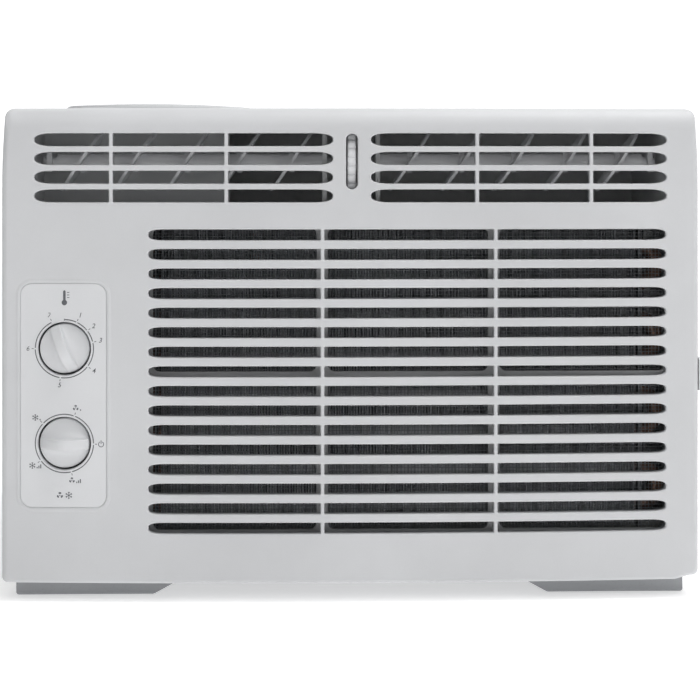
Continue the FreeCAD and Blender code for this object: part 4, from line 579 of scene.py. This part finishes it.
# grow and depth of the groove and raised lip around the plaque, from the face inwards
PLAQUE_GROOVE = [(3.0, 0.0), (2.6, -0.06), (2.1, -0.30), (1.7, -0.42), (1.2, -0.46), (0.75, -0.40), (0.40, -0.2),
                 (0.22, -0.02), (0.10, 0.12), (0.04, 0.25), (0.02, PLAQUE_BACK)]


def build_panel():
    """The panel as one shell: rolled edge, skirt, front plate with its lipped openings, and its inside."""
    skin = Skin()
    inner = outline(SIDE_ROUND, ROLL[0], FOOT_ROUND, FACE_CORNER, FACE_FOOT)
    outer = outline(0, 0, 0, EDGE_CORNER, EDGE_FOOT)
    liner = outline(WALL, WALL, WALL, LINER_CORNER, LINER_FOOT)
    deep = edge_depths(FOOT_ROUND, SIDE_ROUND, ROLL[1])
    rim = skin.on_bow(inner, 0.0, True)
    last = rim
    for k in range(1, ROLL_STEPS + 1):
        a = math.radians(90 * k / ROLL_STEPS)
        ring = [(px + (qx - px) * math.sin(a), pz + (qz - pz) * math.sin(a))
                for (px, pz), (qx, qz) in zip(inner, outer)]
        loop = skin.on_bow(ring, [d * (1 - math.cos(a)) for d in deep])
        skin.bridge(last, loop)
        last = loop

    # skirt: outer and inner walls on one grid, with the filter's slit left out on the right
    n = len(outer)
    back = [PAN_FRONT if z < LOW + STEP_HIGH + 0.1 and abs(x) <= NOTCH + 0.01 else SKIRT_BACK
            for x, z in outer]
    liner_deep = edge_depths(FOOT_ROUND + 1.0, 5.0, GRILLE_DEEP)
    first = skin.on_bow(liner, liner_deep)
    on_side = [abs(abs(x) - (HALF - lean(z))) < 1e-6 and 15 < z < SIDE_END + 0.5 for x, z in outer]
    marks = {True: (SLIT_Y[0], SLIT_Y[1], SKIRT_ROW_Y),
             False: (SLIT_Y[0], GLAND_Y - GLAND_HALF, GLAND_Y + GLAND_HALF)}
    grids = []
    for points, start in ((outer, last), (liner, first)):
        columns = [start]
        for m in range(3):
            row = []
            for i, (x, z) in enumerate(points):
                y0 = skin.verts[start[i]][1]
                y = marks[x > 0][m] if on_side[i] else y0 + (back[i] - y0) * (0.06 + 0.12 * m)
                hollow = points is outer and m < 2 and on_side[i] and x > 0
                hollow = hollow and PINCH_Z[0] + 1 < z < PINCH_Z[1] - 1
                row.append((x - PINCH_DEEP if hollow else x, y, z))
            columns.append(skin.loop(row))
        columns.append(skin.loop([(x, back[i], z) for i, (x, z) in enumerate(points)]))
        grids.append(columns)

    def open_cell(i, c):
        """Whether a cell of the skirt is left out: the filter's slit, or the hole behind the cord gland."""
        z0, z1 = sorted((outer[i][1], outer[(i + 1) % n][1]))
        if not (on_side[i] and on_side[(i + 1) % n]):
            return False
        if outer[i][0] > 0:
            return c == 1 and z0 > SLIT_Z[0] - 0.1 and z1 < SLIT_Z[1] + 0.1
        return c == 2 and z0 > GLAND_Z - GLAND_HALF - 0.1 and z1 < GLAND_Z + GLAND_HALF + 0.1

    out, inn = grids
    for c in range(4):
        for i in range(n):
            j = (i + 1) % n
            if not open_cell(i, c):
                skin.faces += [(g[c][i], g[c][j], g[c + 1][j], g[c + 1][i]) for g in grids]
                continue
            skin.faces += [(out[m][i], out[m][j], inn[m][j], inn[m][i]) for m in (c, c + 1)]
            for k, other in ((i, (i - 1) % n), (j, j)):
                if not open_cell(other, c):
                    skin.faces.append((out[c][k], out[c + 1][k], inn[c + 1][k], inn[c][k]))
    skin.bridge(out[4], inn[4])

    # front plate, its openings and the plate's back
    front_loops, back_loops = [rim], [first]
    for maker, lip in panel_holes():
        ring = skin.on_bow(maker(lip), 0.0, True)
        front_loops.append(ring)
        for k in range(1, LIP_STEPS + 1):
            a = math.radians(90 * k / LIP_STEPS)
            nxt = skin.on_bow(maker(lip * (1 - math.sin(a))), lip * (1 - math.cos(a)))
            skin.bridge(ring, nxt)
            ring = nxt
        end = skin.on_bow(maker(-0.12), GRILLE_DEEP)
        skin.bridge(ring, end)
        back_loops.append(end)

    # plaque recess with a raised, rounded rim, and the two knob wells
    rings = [skin.on_bow(plaque_outline(grow), depth, depth == 0.0) for grow, depth in PLAQUE_GROOVE]
    skin.bridge_all(rings)
    front_loops.append(rings[0])
    wells = []
    for x, z in DIALS:
        mouth = skin.on_bow(circle(x, z, KNOB_R + KNOB_GAP), PLAQUE_BACK)
        end = skin.on_bow(circle(x, z, KNOB_R + KNOB_GAP), GRILLE_DEEP)
        skin.bridge(mouth, end)
        wells.append(mouth)
        back_loops.append(end)
    skin.fill([rings[-1]] + wells)
    skin.fill(front_loops)
    skin.fill(back_loops)
    shell = piece("panel_shell", skin, "chassis", "panel_plastic", sharp=50, normals=skin.normals())
    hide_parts("front_panel")


build_panel()


# ---- control plaque and its printed scale ----
FACE_UP = -0.25  # depth of the plaque's face: it stands a little ahead of the panel's
PLATE_BACK = 0.85
PLATE_EDGE = [(0.0, PLATE_BACK), (0.0, 0.22), (-0.08, FACE_UP + 0.2), (-0.35, FACE_UP)]
DIAL_LIP = [(0.95, FACE_UP), (0.8, FACE_UP - 0.10), (0.55, FACE_UP - 0.16), (0.3, FACE_UP - 0.10),
            (0.1, FACE_UP + 0.12), (0.0, FACE_UP + 0.4), (0.0, PLATE_BACK)]


def build_plaque():
    """The plaque's plate, with a small raised lip round each knob's hole."""
    skin = Skin()
    rings = [skin.on_bow(plaque_outline(grow), depth, depth == FACE_UP) for grow, depth in PLATE_EDGE]
    skin.bridge_all(rings)
    fronts, backs = [rings[-1]], [rings[0]]
    for x, z in DIALS:
        hole = KNOB_R + KNOB_GAP
        loops = [skin.on_bow(circle(x, z, hole + out), depth, depth == FACE_UP) for out, depth in DIAL_LIP]
        skin.bridge_all(loops)
        fronts.append(loops[0])
        backs.append(loops[-1])
    skin.fill(fronts)
    skin.fill(backs)
    plate = piece("plaque_plate", skin, "chassis", "plaque_plastic", sharp=55, normals=skin.normals())
    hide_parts("control_plaque")


build_plaque()


INK_PROUD, INK_SUNK = 0.05, 0.1  # how far the print stands out of the plaque and reaches into it


def ink_walls(skin, points, proud=INK_PROUD):
    """The front and back loops of a printed patch, with its walls, from (x, z) points on the plaque."""
    front = skin.on_bow(points, FACE_UP - proud)
    back = skin.on_bow(points, FACE_UP + INK_SUNK)
    skin.bridge(front, back)
    return front, back


def ink(skin, points, proud=INK_PROUD):
    """A closed printed patch with a convex outline."""
    front, back = ink_walls(skin, points, proud)
    skin.faces.append(tuple(front))
    skin.faces.append(tuple(reversed(back)))


def clock(x, z, r, degrees):
    """The point at a radius and a clockwise angle from straight up."""
    a = math.radians(degrees)
    return x + r * math.sin(a), z + r * math.cos(a)


def ink_arc(skin, x, z, r, width, a0, a1, gap=1.6):
    """Arc of the scale ring, split into short closed patches so that each stays convex."""
    a0, a1 = a0 + gap, a1 - gap
    count = max(3, int((a1 - a0) / 5))
    angles = np.linspace(a0, a1, count + 1)
    points = [clock(x, z, r + width / 2, a) for a in angles]
    points += [clock(x, z, r - width / 2, a) for a in reversed(angles)]
    n = len(points)
    front, back = ink_walls(skin, points)
    for k in range(count):
        quad = (k, k + 1, n - 2 - k, n - 1 - k)
        skin.faces.append(tuple(front[q] for q in quad))
        skin.faces.append(tuple(back[q] for q in reversed(quad)))


def ink_bar(skin, p, q, width):
    dx, dz = q[0] - p[0], q[1] - p[1]
    length = math.hypot(dx, dz)
    ox, oz = -dz / length * width / 2, dx / length * width / 2
    ink(skin, [(p[0] + ox, p[1] + oz), (q[0] + ox, q[1] + oz),
               (q[0] - ox, q[1] - oz), (p[0] - ox, p[1] - oz)])


DIGIT_HALF_THICK, DIGIT_BOLDER = 0.00006, 0.00003  # in metres
DIGIT_SLANT, DIGIT_CURVE_STEPS = 0.25, 4
DIGIT_WELD = 1e-7  # in metres


def ink_text(name, text, x, z, size):
    """A digit as a thin closed solid."""
    curve = bpy.data.curves.new(name, "FONT")
    curve.body, curve.size, curve.shear = text, size * MM, DIGIT_SLANT
    curve.align_x, curve.align_y = "CENTER", "CENTER"
    curve.extrude, curve.resolution_u, curve.offset = DIGIT_HALF_THICK, DIGIT_CURVE_STEPS, DIGIT_BOLDER
    holder = bpy.data.objects.new(name + "_curve", curve)
    mesh = bpy.data.meshes.new_from_object(holder)
    mesh.name = name
    bpy.data.objects.remove(holder)
    y = bow_y(x) + FACE_UP
    for v in mesh.vertices:
        v.co = Vector((v.co.x + x * MM, y * MM - v.co.z, v.co.y + z * MM))
    face_outwards(mesh, DIGIT_WELD)
    obj = in_scene(name, mesh)
    mesh.materials.append(INK)
    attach(obj, "chassis")


# clockwise angles of the marks, in degrees
TEMPERATURE_TICKS = [(25, "1"), (52, "2"), (77, "3"), (127, "4"), (188, "5"), (270, "6"), (335, "7")]
FAN_LOW, MODE_OFF, FAN_HIGH, COOL_HIGH, COOL_LOW = MODE_TICKS = [20, 91, 166, 234, 313]
RING_R, RING_W = 16.9, 0.56  # the printed ring round each knob
TICK, TICK_W = (0.9, 2.1), 0.38  # where a tick starts and ends outside the ring
MARK_R, DRAWING_R = RING_R + 4.4, RING_R + 5.0
DIGIT_SIZE = 3.9
TITLE_UP, TITLE_DOWN = 29.0, 30.0  # the title drawings' distance from their dials
DRAWING_SIZE, TITLE_SIZE = 1.9, 2.1


def ink_tick(skin, x, z, a):
    ink_bar(skin, clock(x, z, RING_R + TICK[0], a), clock(x, z, RING_R + TICK[1], a), TICK_W)


def build_temperature_scale():
    """Ring, start mark, ticks and digits of the temperature dial, and a thermometer above it."""
    x, z = DIALS[0]
    skin = Skin()
    stops = [0] + [a for a, _ in TEMPERATURE_TICKS]
    for n, (a0, a1) in enumerate(zip(stops, stops[1:])):
        ink_arc(skin, x, z, RING_R, RING_W, a0, a1, 1.6 if n else 1.0)
    ink_bar(skin, clock(x, z, RING_R - 1.2, 0), clock(x, z, RING_R + 0.5, 0), 0.4)
    for a, label in TEMPERATURE_TICKS:
        ink_tick(skin, x, z, a)
        px, pz = clock(x, z, MARK_R, a)
        ink_text("temperature_mark_" + label, label, px, pz, DIGIT_SIZE)
    # the thermometer stands for the dial's name
    px, pz = x, z + TITLE_UP
    ink(skin, capsule(px, pz + 1.6, 1.5, 6.4, 0, 6))
    ink(skin, circle(px, pz - 2.3, 1.6, 20))
    for k in range(3):
        ink_bar(skin, (px + 1.5, pz + 0.6 + k * 1.5), (px + 2.9, pz + 0.6 + k * 1.5), 0.4)
    piece("temperature_scale", skin, "chassis", "plaque_plastic", INK, smooth=False)


def draw_fan(skin, x, z, r):
    """Three oval blades round a hub."""
    across, along = r * 0.40, r * 0.26
    for a in (0, 120, 240):
        mx, mz = clock(x, z, r * 0.62, a)
        ca, sa = math.cos(math.radians(a)), math.sin(math.radians(a))
        ink(skin, [(mx + across * math.cos(t) * ca + along * math.sin(t) * sa,
                    mz - across * math.cos(t) * sa + along * math.sin(t) * ca)
                   for t in np.linspace(0, 2 * math.pi, 15)[:-1]])
    ink(skin, circle(x, z, r * 0.16, 12), 0.07)


def draw_flake(skin, x, z, r):
    """Three crossed bars with a pair of barbs near each end."""
    for k in range(3):
        a = 60 * k
        ink_bar(skin, clock(x, z, r, a), clock(x, z, r, a + 180), 0.34)
        for end in (a, a + 180):
            for side in (-32, 32):
                base = clock(x, z, r * 0.55, end)
                ink_bar(skin, base, clock(*base, r * 0.4, end + side), 0.28)


def draw_level(skin, x, z, high):
    """One low bar for the low setting, three rising bars for the high one."""
    for k in range(3 if high else 1):
        ink_bar(skin, (x + k * 1.05, z - 1.0), (x + k * 1.05, z - 0.2 + k * 0.75), 0.6)


def build_mode_scale():
    """Ring, ticks and drawings of the mode dial, and a fan and a crystal below it."""
    x, z = DIALS[1]
    skin = Skin()
    stops = MODE_TICKS + [MODE_TICKS[0] + 360]
    for a0, a1 in zip(stops, stops[1:]):
        ink_arc(skin, x, z, RING_R, RING_W, a0, a1)
    for a in MODE_TICKS:
        ink_tick(skin, x, z, a)
    for a, drawing, high in ((FAN_LOW, draw_fan, 0), (FAN_HIGH, draw_fan, 1), (COOL_HIGH, draw_flake, 1),
                             (COOL_LOW, draw_flake, 0)):
        px, pz = clock(x, z, DRAWING_R, a)
        drawing(skin, px - 0.9, pz, DRAWING_SIZE)
        draw_level(skin, px + 1.9, pz - 0.6, high)
    px, pz = clock(x, z, MARK_R, MODE_OFF)
    ink_arc(skin, px, pz, 1.5, 0.42, 25, 335, 0)
    ink_bar(skin, (px, pz + 0.3), (px, pz + 2.3), 0.42)
    px, pz = x, z - TITLE_DOWN
    draw_fan(skin, px - 2.6, pz, TITLE_SIZE)
    draw_flake(skin, px + 2.6, pz, TITLE_SIZE)
    piece("mode_scale", skin, "chassis", "plaque_plastic", INK, smooth=False)


build_temperature_scale()
build_mode_scale()


# ---- knobs ----
KNOB_RIDGE = 3.25  # half the width of the finger ridge
RIDGE_TOP = 13.4  # its middle's height above the knob's rim
RIDGE_EDGE, RIDGE_GAIN = 0.9, 2.6  # its height at one end of the rim, and what it gains to the other
RIDGE_HOLLOW, HOLLOW_HALF = 0.25, 1.8
DISH_EDGE, DISH_RISE = 0.9, 2.2  # the dish on both sides of the ridge
WALL_TOP, WALL_FOOT = -0.35, 0.25  # where the ridge's steep wall starts and ends, from its half width
FLANK_SHARE, FLANK_FADE = 0.42, 1.7  # the fillet at the wall's foot
KNOB_TOP_R = KNOB_R - 0.45
KNOB_SUNK = 2.5  # the rim's depth behind the panel's face
KNOB_SKIRT = 5.5  # depths below are from the rim
HUB_R, HUB_END = 6.0, 11.0
BORE_R, BORE_END = 3.05, 3.5
# distances of the grid's columns from the ridge's middle, close together at its wall
KNOB_COLUMNS = [0.0, 0.6, 1.2, 1.8, 2.3, 2.65, 2.9, 3.0, 3.08, 3.16, 3.24, 3.32, 3.4, 3.5, 3.62, 3.8, 4.1, 4.5,
                5.0, 5.6, 6.3, 7.1, 8.0, 9.0, 10.0, 11.0, 11.9, 12.7, 13.3, 13.75, KNOB_TOP_R]
COLUMN_LIMIT = 13.9  # the outermost column follows the rim, with the length of a column here
KNOB_ROWS = 49
KNOB_RINGS = [(KNOB_R - 0.22, 0.06), (KNOB_R - 0.05, 0.25), (KNOB_R, 0.55), (KNOB_R, KNOB_SKIRT), (HUB_R, KNOB_SKIRT),
              (HUB_R, HUB_END), (BORE_R, HUB_END), (BORE_R, BORE_END)]


def knob_height(u, v):
    """Height above the rim: a tall finger ridge along v, its flanks scooped out of a shallow dish."""
    fall = max(0.0, 1 - (u * u + v * v) / KNOB_R ** 2)
    along = (v / KNOB_R + 1) / 2
    edge = RIDGE_EDGE + RIDGE_GAIN * along
    crest = edge + (RIDGE_TOP - edge) * fall - RIDGE_HOLLOW * math.exp(-(u / HOLLOW_HALF) ** 2)
    low = DISH_EDGE + DISH_RISE * fall
    off = abs(u) - KNOB_RIDGE
    if off <= WALL_TOP:
        return crest
    flank = FLANK_SHARE * math.exp(-max(off, 0.0) / FLANK_FADE)
    share = 1 - (1 - flank) * smooth_step(WALL_TOP, WALL_FOOT, off)
    return low + (crest - low) * share


def build_knob(name, node, body, x, z, pointer):
    """A knob on a grid of columns along its ridge, with its skirt, hub and bore as rings below."""
    skin = Skin()
    rim_y = bow_y(x) + KNOB_SUNK
    turn = math.radians(pointer)
    top_r = KNOB_TOP_R
    columns = [-c for c in reversed(KNOB_COLUMNS[1:])] + KNOB_COLUMNS
    rows = [math.sin(math.pi / 2 * t) for t in np.linspace(-1, 1, KNOB_ROWS)]

    def place(u, v, depth):
        px = u * math.cos(turn) + v * math.sin(turn)
        pz = -u * math.sin(turn) + v * math.cos(turn)
        return (x + px, rim_y + depth, z + pz)

    grid = []
    for c in columns:
        reach = math.sqrt(max(top_r ** 2 - min(abs(c), COLUMN_LIMIT) ** 2, 0))
        line = []
        for t in rows:
            v = t * reach
            u = math.copysign(math.sqrt(top_r ** 2 - v * v), c) if abs(c) == top_r else c
            line.append((u, v))
        grid.append(line)
    ids = [skin.loop([place(u, v, -knob_height(u, v)) for u, v in line]) for line in grid]
    skin.bridge_all(ids, closed=False)
    edge = [(i, 0) for i in range(len(columns))] + [(len(columns) - 1, j) for j in range(1, len(rows))]
    edge += [(i, len(rows) - 1) for i in range(len(columns) - 2, -1, -1)]
    edge += [(0, j) for j in range(len(rows) - 2, 0, -1)]
    angles = [math.atan2(*grid[i][j]) for i, j in edge]
    last = [ids[i][j] for i, j in edge]
    for r, depth in KNOB_RINGS:
        ring = skin.loop([place(r * math.sin(a), r * math.cos(a), depth) for a in angles])
        skin.bridge(last, ring)
        last = ring
    skin.faces.append(tuple(last))
    cap = piece(name, skin, body, "knob_plastic", sharp=70)
    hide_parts(node)


build_knob("temperature_cap", "temperature_knob", "temperature_dial", *DIALS[0], -23)
build_knob("mode_cap", "mode_knob", "mode_dial", *DIALS[1], 91)


# ---- air swing thumbwheel ----
RIDGES, RIDGE_POINTS, RIDGE_DEEP, RIDGE_POWER = 31, 10, 1.3, 0.75
WHEEL_BORE_R = 4.05


def build_thumbwheel():
    """Wheel with rounded finger ridges and a crowned, softened rim."""
    skin = Skin()
    half = (WHEEL[1] - WHEEL[0]) / 2
    # x, radius and share of the ridges' depth, from the left bore edge out to the rim's middle
    left = [(-half, WHEEL_BORE_R, 0.0), (-half, 20.0, 0.0), (-half, WHEEL_R - 3.0, 0.0),
            (-half, WHEEL_R - 0.9, 0.6), (-half + 0.25, WHEEL_R - 0.35, 0.85), (-half + 0.8, WHEEL_R, 1.0)]
    loops = []
    count = RIDGES * RIDGE_POINTS
    for x, r, share in left + [(0.0, WHEEL_R, 1.0)] + [(-x, r, share) for x, r, share in reversed(left)]:
        ring = []
        for k in range(count):
            a = 2 * math.pi * k / count
            wave = abs(math.sin(a * RIDGES / 2)) ** RIDGE_POWER
            q = r - RIDGE_DEEP * share * (1 - wave)
            ring.append((x, ROTOR_Y + q * math.cos(a), ROTOR_Z + q * math.sin(a)))
        loops.append(skin.loop(ring))
    skin.bridge_all(loops + loops[:1])
    wheel = piece("swing_wheel", skin, "air_swing_rotor", "vane_plastic", sharp=50)
    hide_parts("rotor_thumbwheel")


build_thumbwheel()


# ---- filter net and fin packs ----
NET_PITCH, STRAND_R, STRAND_LAP = 2.0, 0.17, 0.12


def build_net():
    """Moulded net: upright strands in front of level ones, fused where they cross."""
    skin = Skin()
    x0, x1, y0, y1, z0, z1 = FILTER
    mid = (y0 + y1) / 2
    r = STRAND_R

    def strand(p, q, flat):
        """A six-sided strand from p to q, upright where flat and level where not."""
        turns = [math.pi * k / 3 for k in range(6)]
        near, far = [skin.loop([(x + (r * math.cos(a) if flat else 0), y + r * math.sin(a),
                                 z + (0 if flat else r * math.cos(a))) for a in turns]) for x, y, z in (p, q)]
        skin.bridge(near, far)
        skin.faces.append(tuple(reversed(near)))
        skin.faces.append(tuple(far))

    for i in range(int((x1 - x0) / NET_PITCH) + 1):
        x = x0 + r + i * NET_PITCH
        strand((x, mid - STRAND_LAP, z0), (x, mid - STRAND_LAP, z1), True)
    for i in range(int((z1 - z0) / NET_PITCH) + 1):
        z = z0 + r + i * NET_PITCH
        strand((x0, mid + STRAND_LAP, z), (x1, mid + STRAND_LAP, z), False)
    net = piece("filter_net", skin, "air_filter", "filter_net")
    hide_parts("filter_mesh")


FIN_HALF_THICK, FIN_WAVE, FIN_WAVES, FIN_ROWS = 0.09, 0.28, 4, 9
FIN_MARGIN = 0.2  # from the pack's ends to the first and last fins
FIN_STRAY, FIN_BEND, FIN_BEND_MOST = 0.06, 0.10, 0.35
BACK_SHARE = 0.4  # how much of the bend in its front edge a fin keeps further back
COLLAR_R, COLLAR_IN_R = 5.0, 4.8


def build_fins(name, node, pitch, seed, first_tube, tube_pitch, tube_rows):
    """Corrugated fins at the real spacing, each bent and set a little off true, and the tubes' collars."""
    skin = Skin()
    rng = np.random.default_rng(seed)
    x0, x1, y0, y1, z0, z1 = span(node)
    wide = x1 - x0 - 2 * FIN_MARGIN
    count = int(wide / pitch)
    rows = np.linspace(z0, z1, FIN_ROWS)
    there = range(FIN_WAVES + 1)
    for i in range(count + 1):
        x = x0 + FIN_MARGIN + wide * i / count + rng.normal(0, FIN_STRAY)
        bend = np.cumsum(rng.normal(0, FIN_BEND, len(rows)))
        bend = np.clip(bend - bend.mean(), -FIN_BEND_MOST, FIN_BEND_MOST)
        loops = []
        for row, z in enumerate(rows):
            section = []
            for side, order in ((-1, there), (1, reversed(there))):
                for k in order:
                    y = y0 + (y1 - y0) * k / FIN_WAVES
                    zig = FIN_WAVE if k % 2 else -FIN_WAVE
                    edge = bend[row] * (1 if k < 2 else BACK_SHARE)
                    section.append((min(max(x + zig + edge + side * FIN_HALF_THICK, x0), x1), y, z))
            loops.append(skin.loop(section))
        skin.bridge_all(loops)
        skin.strip_end(loops[0])
        skin.strip_end(loops[-1])
    round_angles = np.linspace(0, 2 * math.pi, 17)[:-1]
    for z in [first_tube + tube_pitch * i for i in range(tube_rows)]:
        rings = [skin.loop([(x, (y0 + y1) / 2 + r * math.cos(a), z + r * math.sin(a)) for a in round_angles])
                 for x, r in ((x0, COLLAR_R), (x1, COLLAR_R), (x1, COLLAR_IN_R), (x0, COLLAR_IN_R))]
        skin.bridge_all(rings + rings[:1])
    pack = piece(name, skin, "chassis", "fin_aluminium", smooth=False)
    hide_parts(node)


build_net()
build_fins("evaporator_fin_pack", "evaporator_fins", 1.6, 7, 51.0, 22.0, 8)
build_fins("condenser_fin_pack", "condenser_fins", 1.9, 11, 31.5, 23.0, 10)


# ---- the cabinet's pressed louvre hoods and crown ----
CAB_HALF, CAB_TOP = 198.2, 282.6
HOOD_WIDE, HOOD_BACK = 6.6, 0.6  # across the slot, and how far of that is behind its middle
HOOD_REACH, HOOD_THICK, HOOD_STEPS = 3.0, 0.8, 8
HOOD_SUNK = 0.7  # no deeper than this below the cabinet's face
HOOD_EASE = 0.16  # share of its length over which a hood's end swells
HOOD_STATIONS = [0.0, 0.03, 0.08, HOOD_EASE, 0.84, 0.92, 0.97, 1.0]
LOUVRE_HALF_HIGH = 2.5
SIDE_LOUVRES = (20, 52, 3, 44, 66, 14, 12)  # start, pitch, count and length along, start, pitch, count across
TOP_LOUVRES = (-168, 86, 4, 76, 84, 14, 5)
HOOD_LONGER = 2


def louvre_middles(along, along_pitch, columns, length, across, across_pitch, rows):
    return [(along + c * along_pitch + length / 2, across + r * across_pitch + LOUVRE_HALF_HIGH)
            for c in range(columns) for r in range(rows)]


def build_hoods(name, places, axis_u, axis_v, axis_n, length):
    """Quarter-round hoods over the cabinet's slots: u along the slot, v across it, n outwards."""
    skin = Skin()
    angles = [math.pi / 2 * k / HOOD_STEPS for k in range(HOOD_STEPS + 1)]
    axis_u, axis_v, axis_n = Vector(axis_u), Vector(axis_v), Vector(axis_n)
    for origin in places:
        loops = []
        for s in HOOD_STATIONS:
            high = HOOD_REACH * math.sin(math.pi / 2 * min(1.0, min(s, 1 - s) / HOOD_EASE))
            section = [(HOOD_WIDE * math.cos(a) - HOOD_BACK, high * math.sin(a)) for a in angles]
            section += [((HOOD_WIDE - HOOD_THICK) * math.cos(a) - HOOD_BACK, high * math.sin(a) - HOOD_THICK)
                        for a in reversed(angles)]
            middle = Vector(origin) + axis_u * (length * (s - 0.5))
            loops.append(skin.loop([tuple(middle + axis_v * v + axis_n * max(n, -HOOD_SUNK)) for v, n in section]))
        skin.bridge_all(loops)
        skin.strip_end(loops[0])
        skin.strip_end(loops[-1])
    piece(name, skin, "chassis", "cabinet_paint", sharp=40)


CROWN_X, CROWN_Y = (-176.5, -58.0), (-113.5, -22.5)
CROWN_HIGH, CROWN_PEAK_X = 8.6, -124.0
CROWN_FALL_LEFT, CROWN_FALL_RIGHT = 0.00052, 0.00058
CROWN_EDGE, CROWN_CORNER = 3.2, 12.0
CROWN_SUNK = 0.4
CROWN_RIM, CROWN_RIM_POINTS = 9, 13  # the band along its edges where the grid is finer


def crown_stations(low, high, middle):
    """Grid lines of the crown between two edges, close together near both."""
    parts = [np.linspace(low, low + CROWN_RIM, CROWN_RIM_POINTS),
             np.linspace(low + CROWN_RIM, high - CROWN_RIM, middle),
             np.linspace(high - CROWN_RIM, high, CROWN_RIM_POINTS)]
    return sorted(set(np.round(np.concatenate(parts), 4)))


def build_crown():
    """Smooth crowned skin over the rib stamped in the cabinet's top, towards the left."""
    skin = Skin()
    xs, ys = crown_stations(*CROWN_X, 30), crown_stations(*CROWN_Y, 20)

    def height(x, y):
        """A long arch, rounded down over its last few millimetres on every side."""
        fall = CROWN_FALL_LEFT if x < CROWN_PEAK_X else CROWN_FALL_RIGHT
        arch = CROWN_HIGH - fall * (x - CROWN_PEAK_X) ** 2
        u, v = min(x - CROWN_X[0], CROWN_X[1] - x), min(y - CROWN_Y[0], CROWN_Y[1] - y)
        gap = max(0.0, CROWN_CORNER - u) ** 2 + max(0.0, CROWN_CORNER - v) ** 2
        inside = CROWN_CORNER - math.sqrt(gap) if u < CROWN_CORNER and v < CROWN_CORNER else min(u, v)
        t = max(0.0, min(1.0, inside / CROWN_EDGE))
        return arch * math.sqrt(1 - (1 - t) ** 2)

    tops = [skin.loop([(x, y, CAB_TOP + height(x, y)) for y in ys]) for x in xs]
    lows = [skin.loop([(x, y, CAB_TOP - CROWN_SUNK) for y in ys]) for x in xs]
    skin.bridge_all(tops, closed=False)
    skin.bridge_all(lows, closed=False)
    for end in (0, -1):
        skin.bridge(tops[end], lows[end], closed=False)
    for end in (0, -1):
        skin.bridge([row[end] for row in tops], [row[end] for row in lows], closed=False)
    piece("cabinet_crown", skin, "chassis", "cabinet_paint", sharp=70)


build_crown()
for side, out in (("left", -1), ("right", 1)):
    build_hoods("louvre_hoods_" + side, [(out * CAB_HALF, y, z) for y, z in louvre_middles(*SIDE_LOUVRES)],
                (0, 1, 0), (0, 0, 1), (out, 0, 0), SIDE_LOUVRES[3] + HOOD_LONGER)
build_hoods("louvre_hoods_top", [(x, y, CAB_TOP) for x, y in louvre_middles(*TOP_LOUVRES)],
            (1, 0, 0), (0, 1, 0), (0, 0, 1), TOP_LOUVRES[3] + HOOD_LONGER)


# ---- stage, light and camera ----
ROOM, ROOM_BACK, ROOM_LOW = 6, 4, -0.5  # metres


def pale_sheet(name, look, near, far, patches, tones, glow):
    """A wide matt sheet between two lines of (y, z), glowing a little so that it comes out nearly white."""
    mesh = bpy.data.meshes.new(name)
    mesh.from_pydata([(-ROOM, *near), (ROOM, *near), (ROOM, *far), (-ROOM, *far)], [], [(0, 1, 2, 3)])
    n = Nodes(look)
    stops = [(at, (tone, tone, tone, 1)) for at, tone in zip((0.4, 0.6), tones)]
    n.colour(n.ramp(n.noise(patches, 2.0, 0.5), stops))
    n.fixed(Roughness=0.9, Specular_IOR_Level=0.1, Emission_Color=(1, 1, 1, 1), Emission_Strength=glow)
    mesh.materials.append(n.mat)
    return in_scene(name, mesh)


def build_stage():
    floor = pale_sheet("floor", "pale_floor", (-ROOM, 0), (ROOM, 0), 2.0, (0.86, 0.88), 0.42)
    wall = pale_sheet("backdrop", "pale_wall", (ROOM_BACK, ROOM_LOW), (ROOM_BACK, ROOM), 1.5, (0.88, 0.9), 0.6)


def area_light(name, place, aim, size, power):
    light = bpy.data.lights.new(name, "AREA")
    light.shape, light.size, light.size_y = "RECTANGLE", size[0], size[1]
    light.energy = power
    obj = in_scene(name, light)
    obj.location = place
    obj.rotation_euler = (Vector(aim) - Vector(place)).to_track_quat("-Z", "Y").to_euler()


def build_light():
    """A white studio, brighter on its right than on its left, with two soft lamps."""
    world = bpy.data.worlds.new("studio")
    bpy.context.scene.world = world
    world.use_nodes = True
    tree = world.node_tree
    background = tree.nodes["Background"]
    background.inputs["Color"].default_value = (1, 1, 1, 1)
    direction = tree.nodes.new("ShaderNodeTexCoord").outputs["Generated"]
    across = tree.nodes.new("ShaderNodeSeparateXYZ")
    tree.links.new(direction, across.inputs[0])
    level = tree.nodes.new("ShaderNodeMapRange")
    for key, value in (("From Min", -1.0), ("From Max", 0.5), ("To Min", 0.05), ("To Max", 0.52)):
        level.inputs[key].default_value = value
    tree.links.new(across.outputs[0], level.inputs["Value"])
    tree.links.new(level.outputs["Result"], background.inputs["Strength"])
    area_light("key", (-0.1, -1.8, 1.9), (0, 0, 0.15), (1.2, 0.9), 10)
    area_light("overhead", (0.45, -0.25, 1.8), (0, -0.1, 0.2), (1.4, 1.0), 22)


def build_camera():
    data = bpy.data.cameras.new("camera")
    data.lens, data.sensor_width = 97.9, 36.0
    data.shift_y = -0.254
    camera = in_scene("camera", data)
    camera.location = (-0.0292, -1.290, 0.249)
    camera.rotation_euler = (math.radians(90), 0, math.radians(-1.46))
    bpy.context.scene.camera = camera


build_stage()
build_light()
build_camera()
bpy.context.scene.view_settings.view_transform = "Standard"
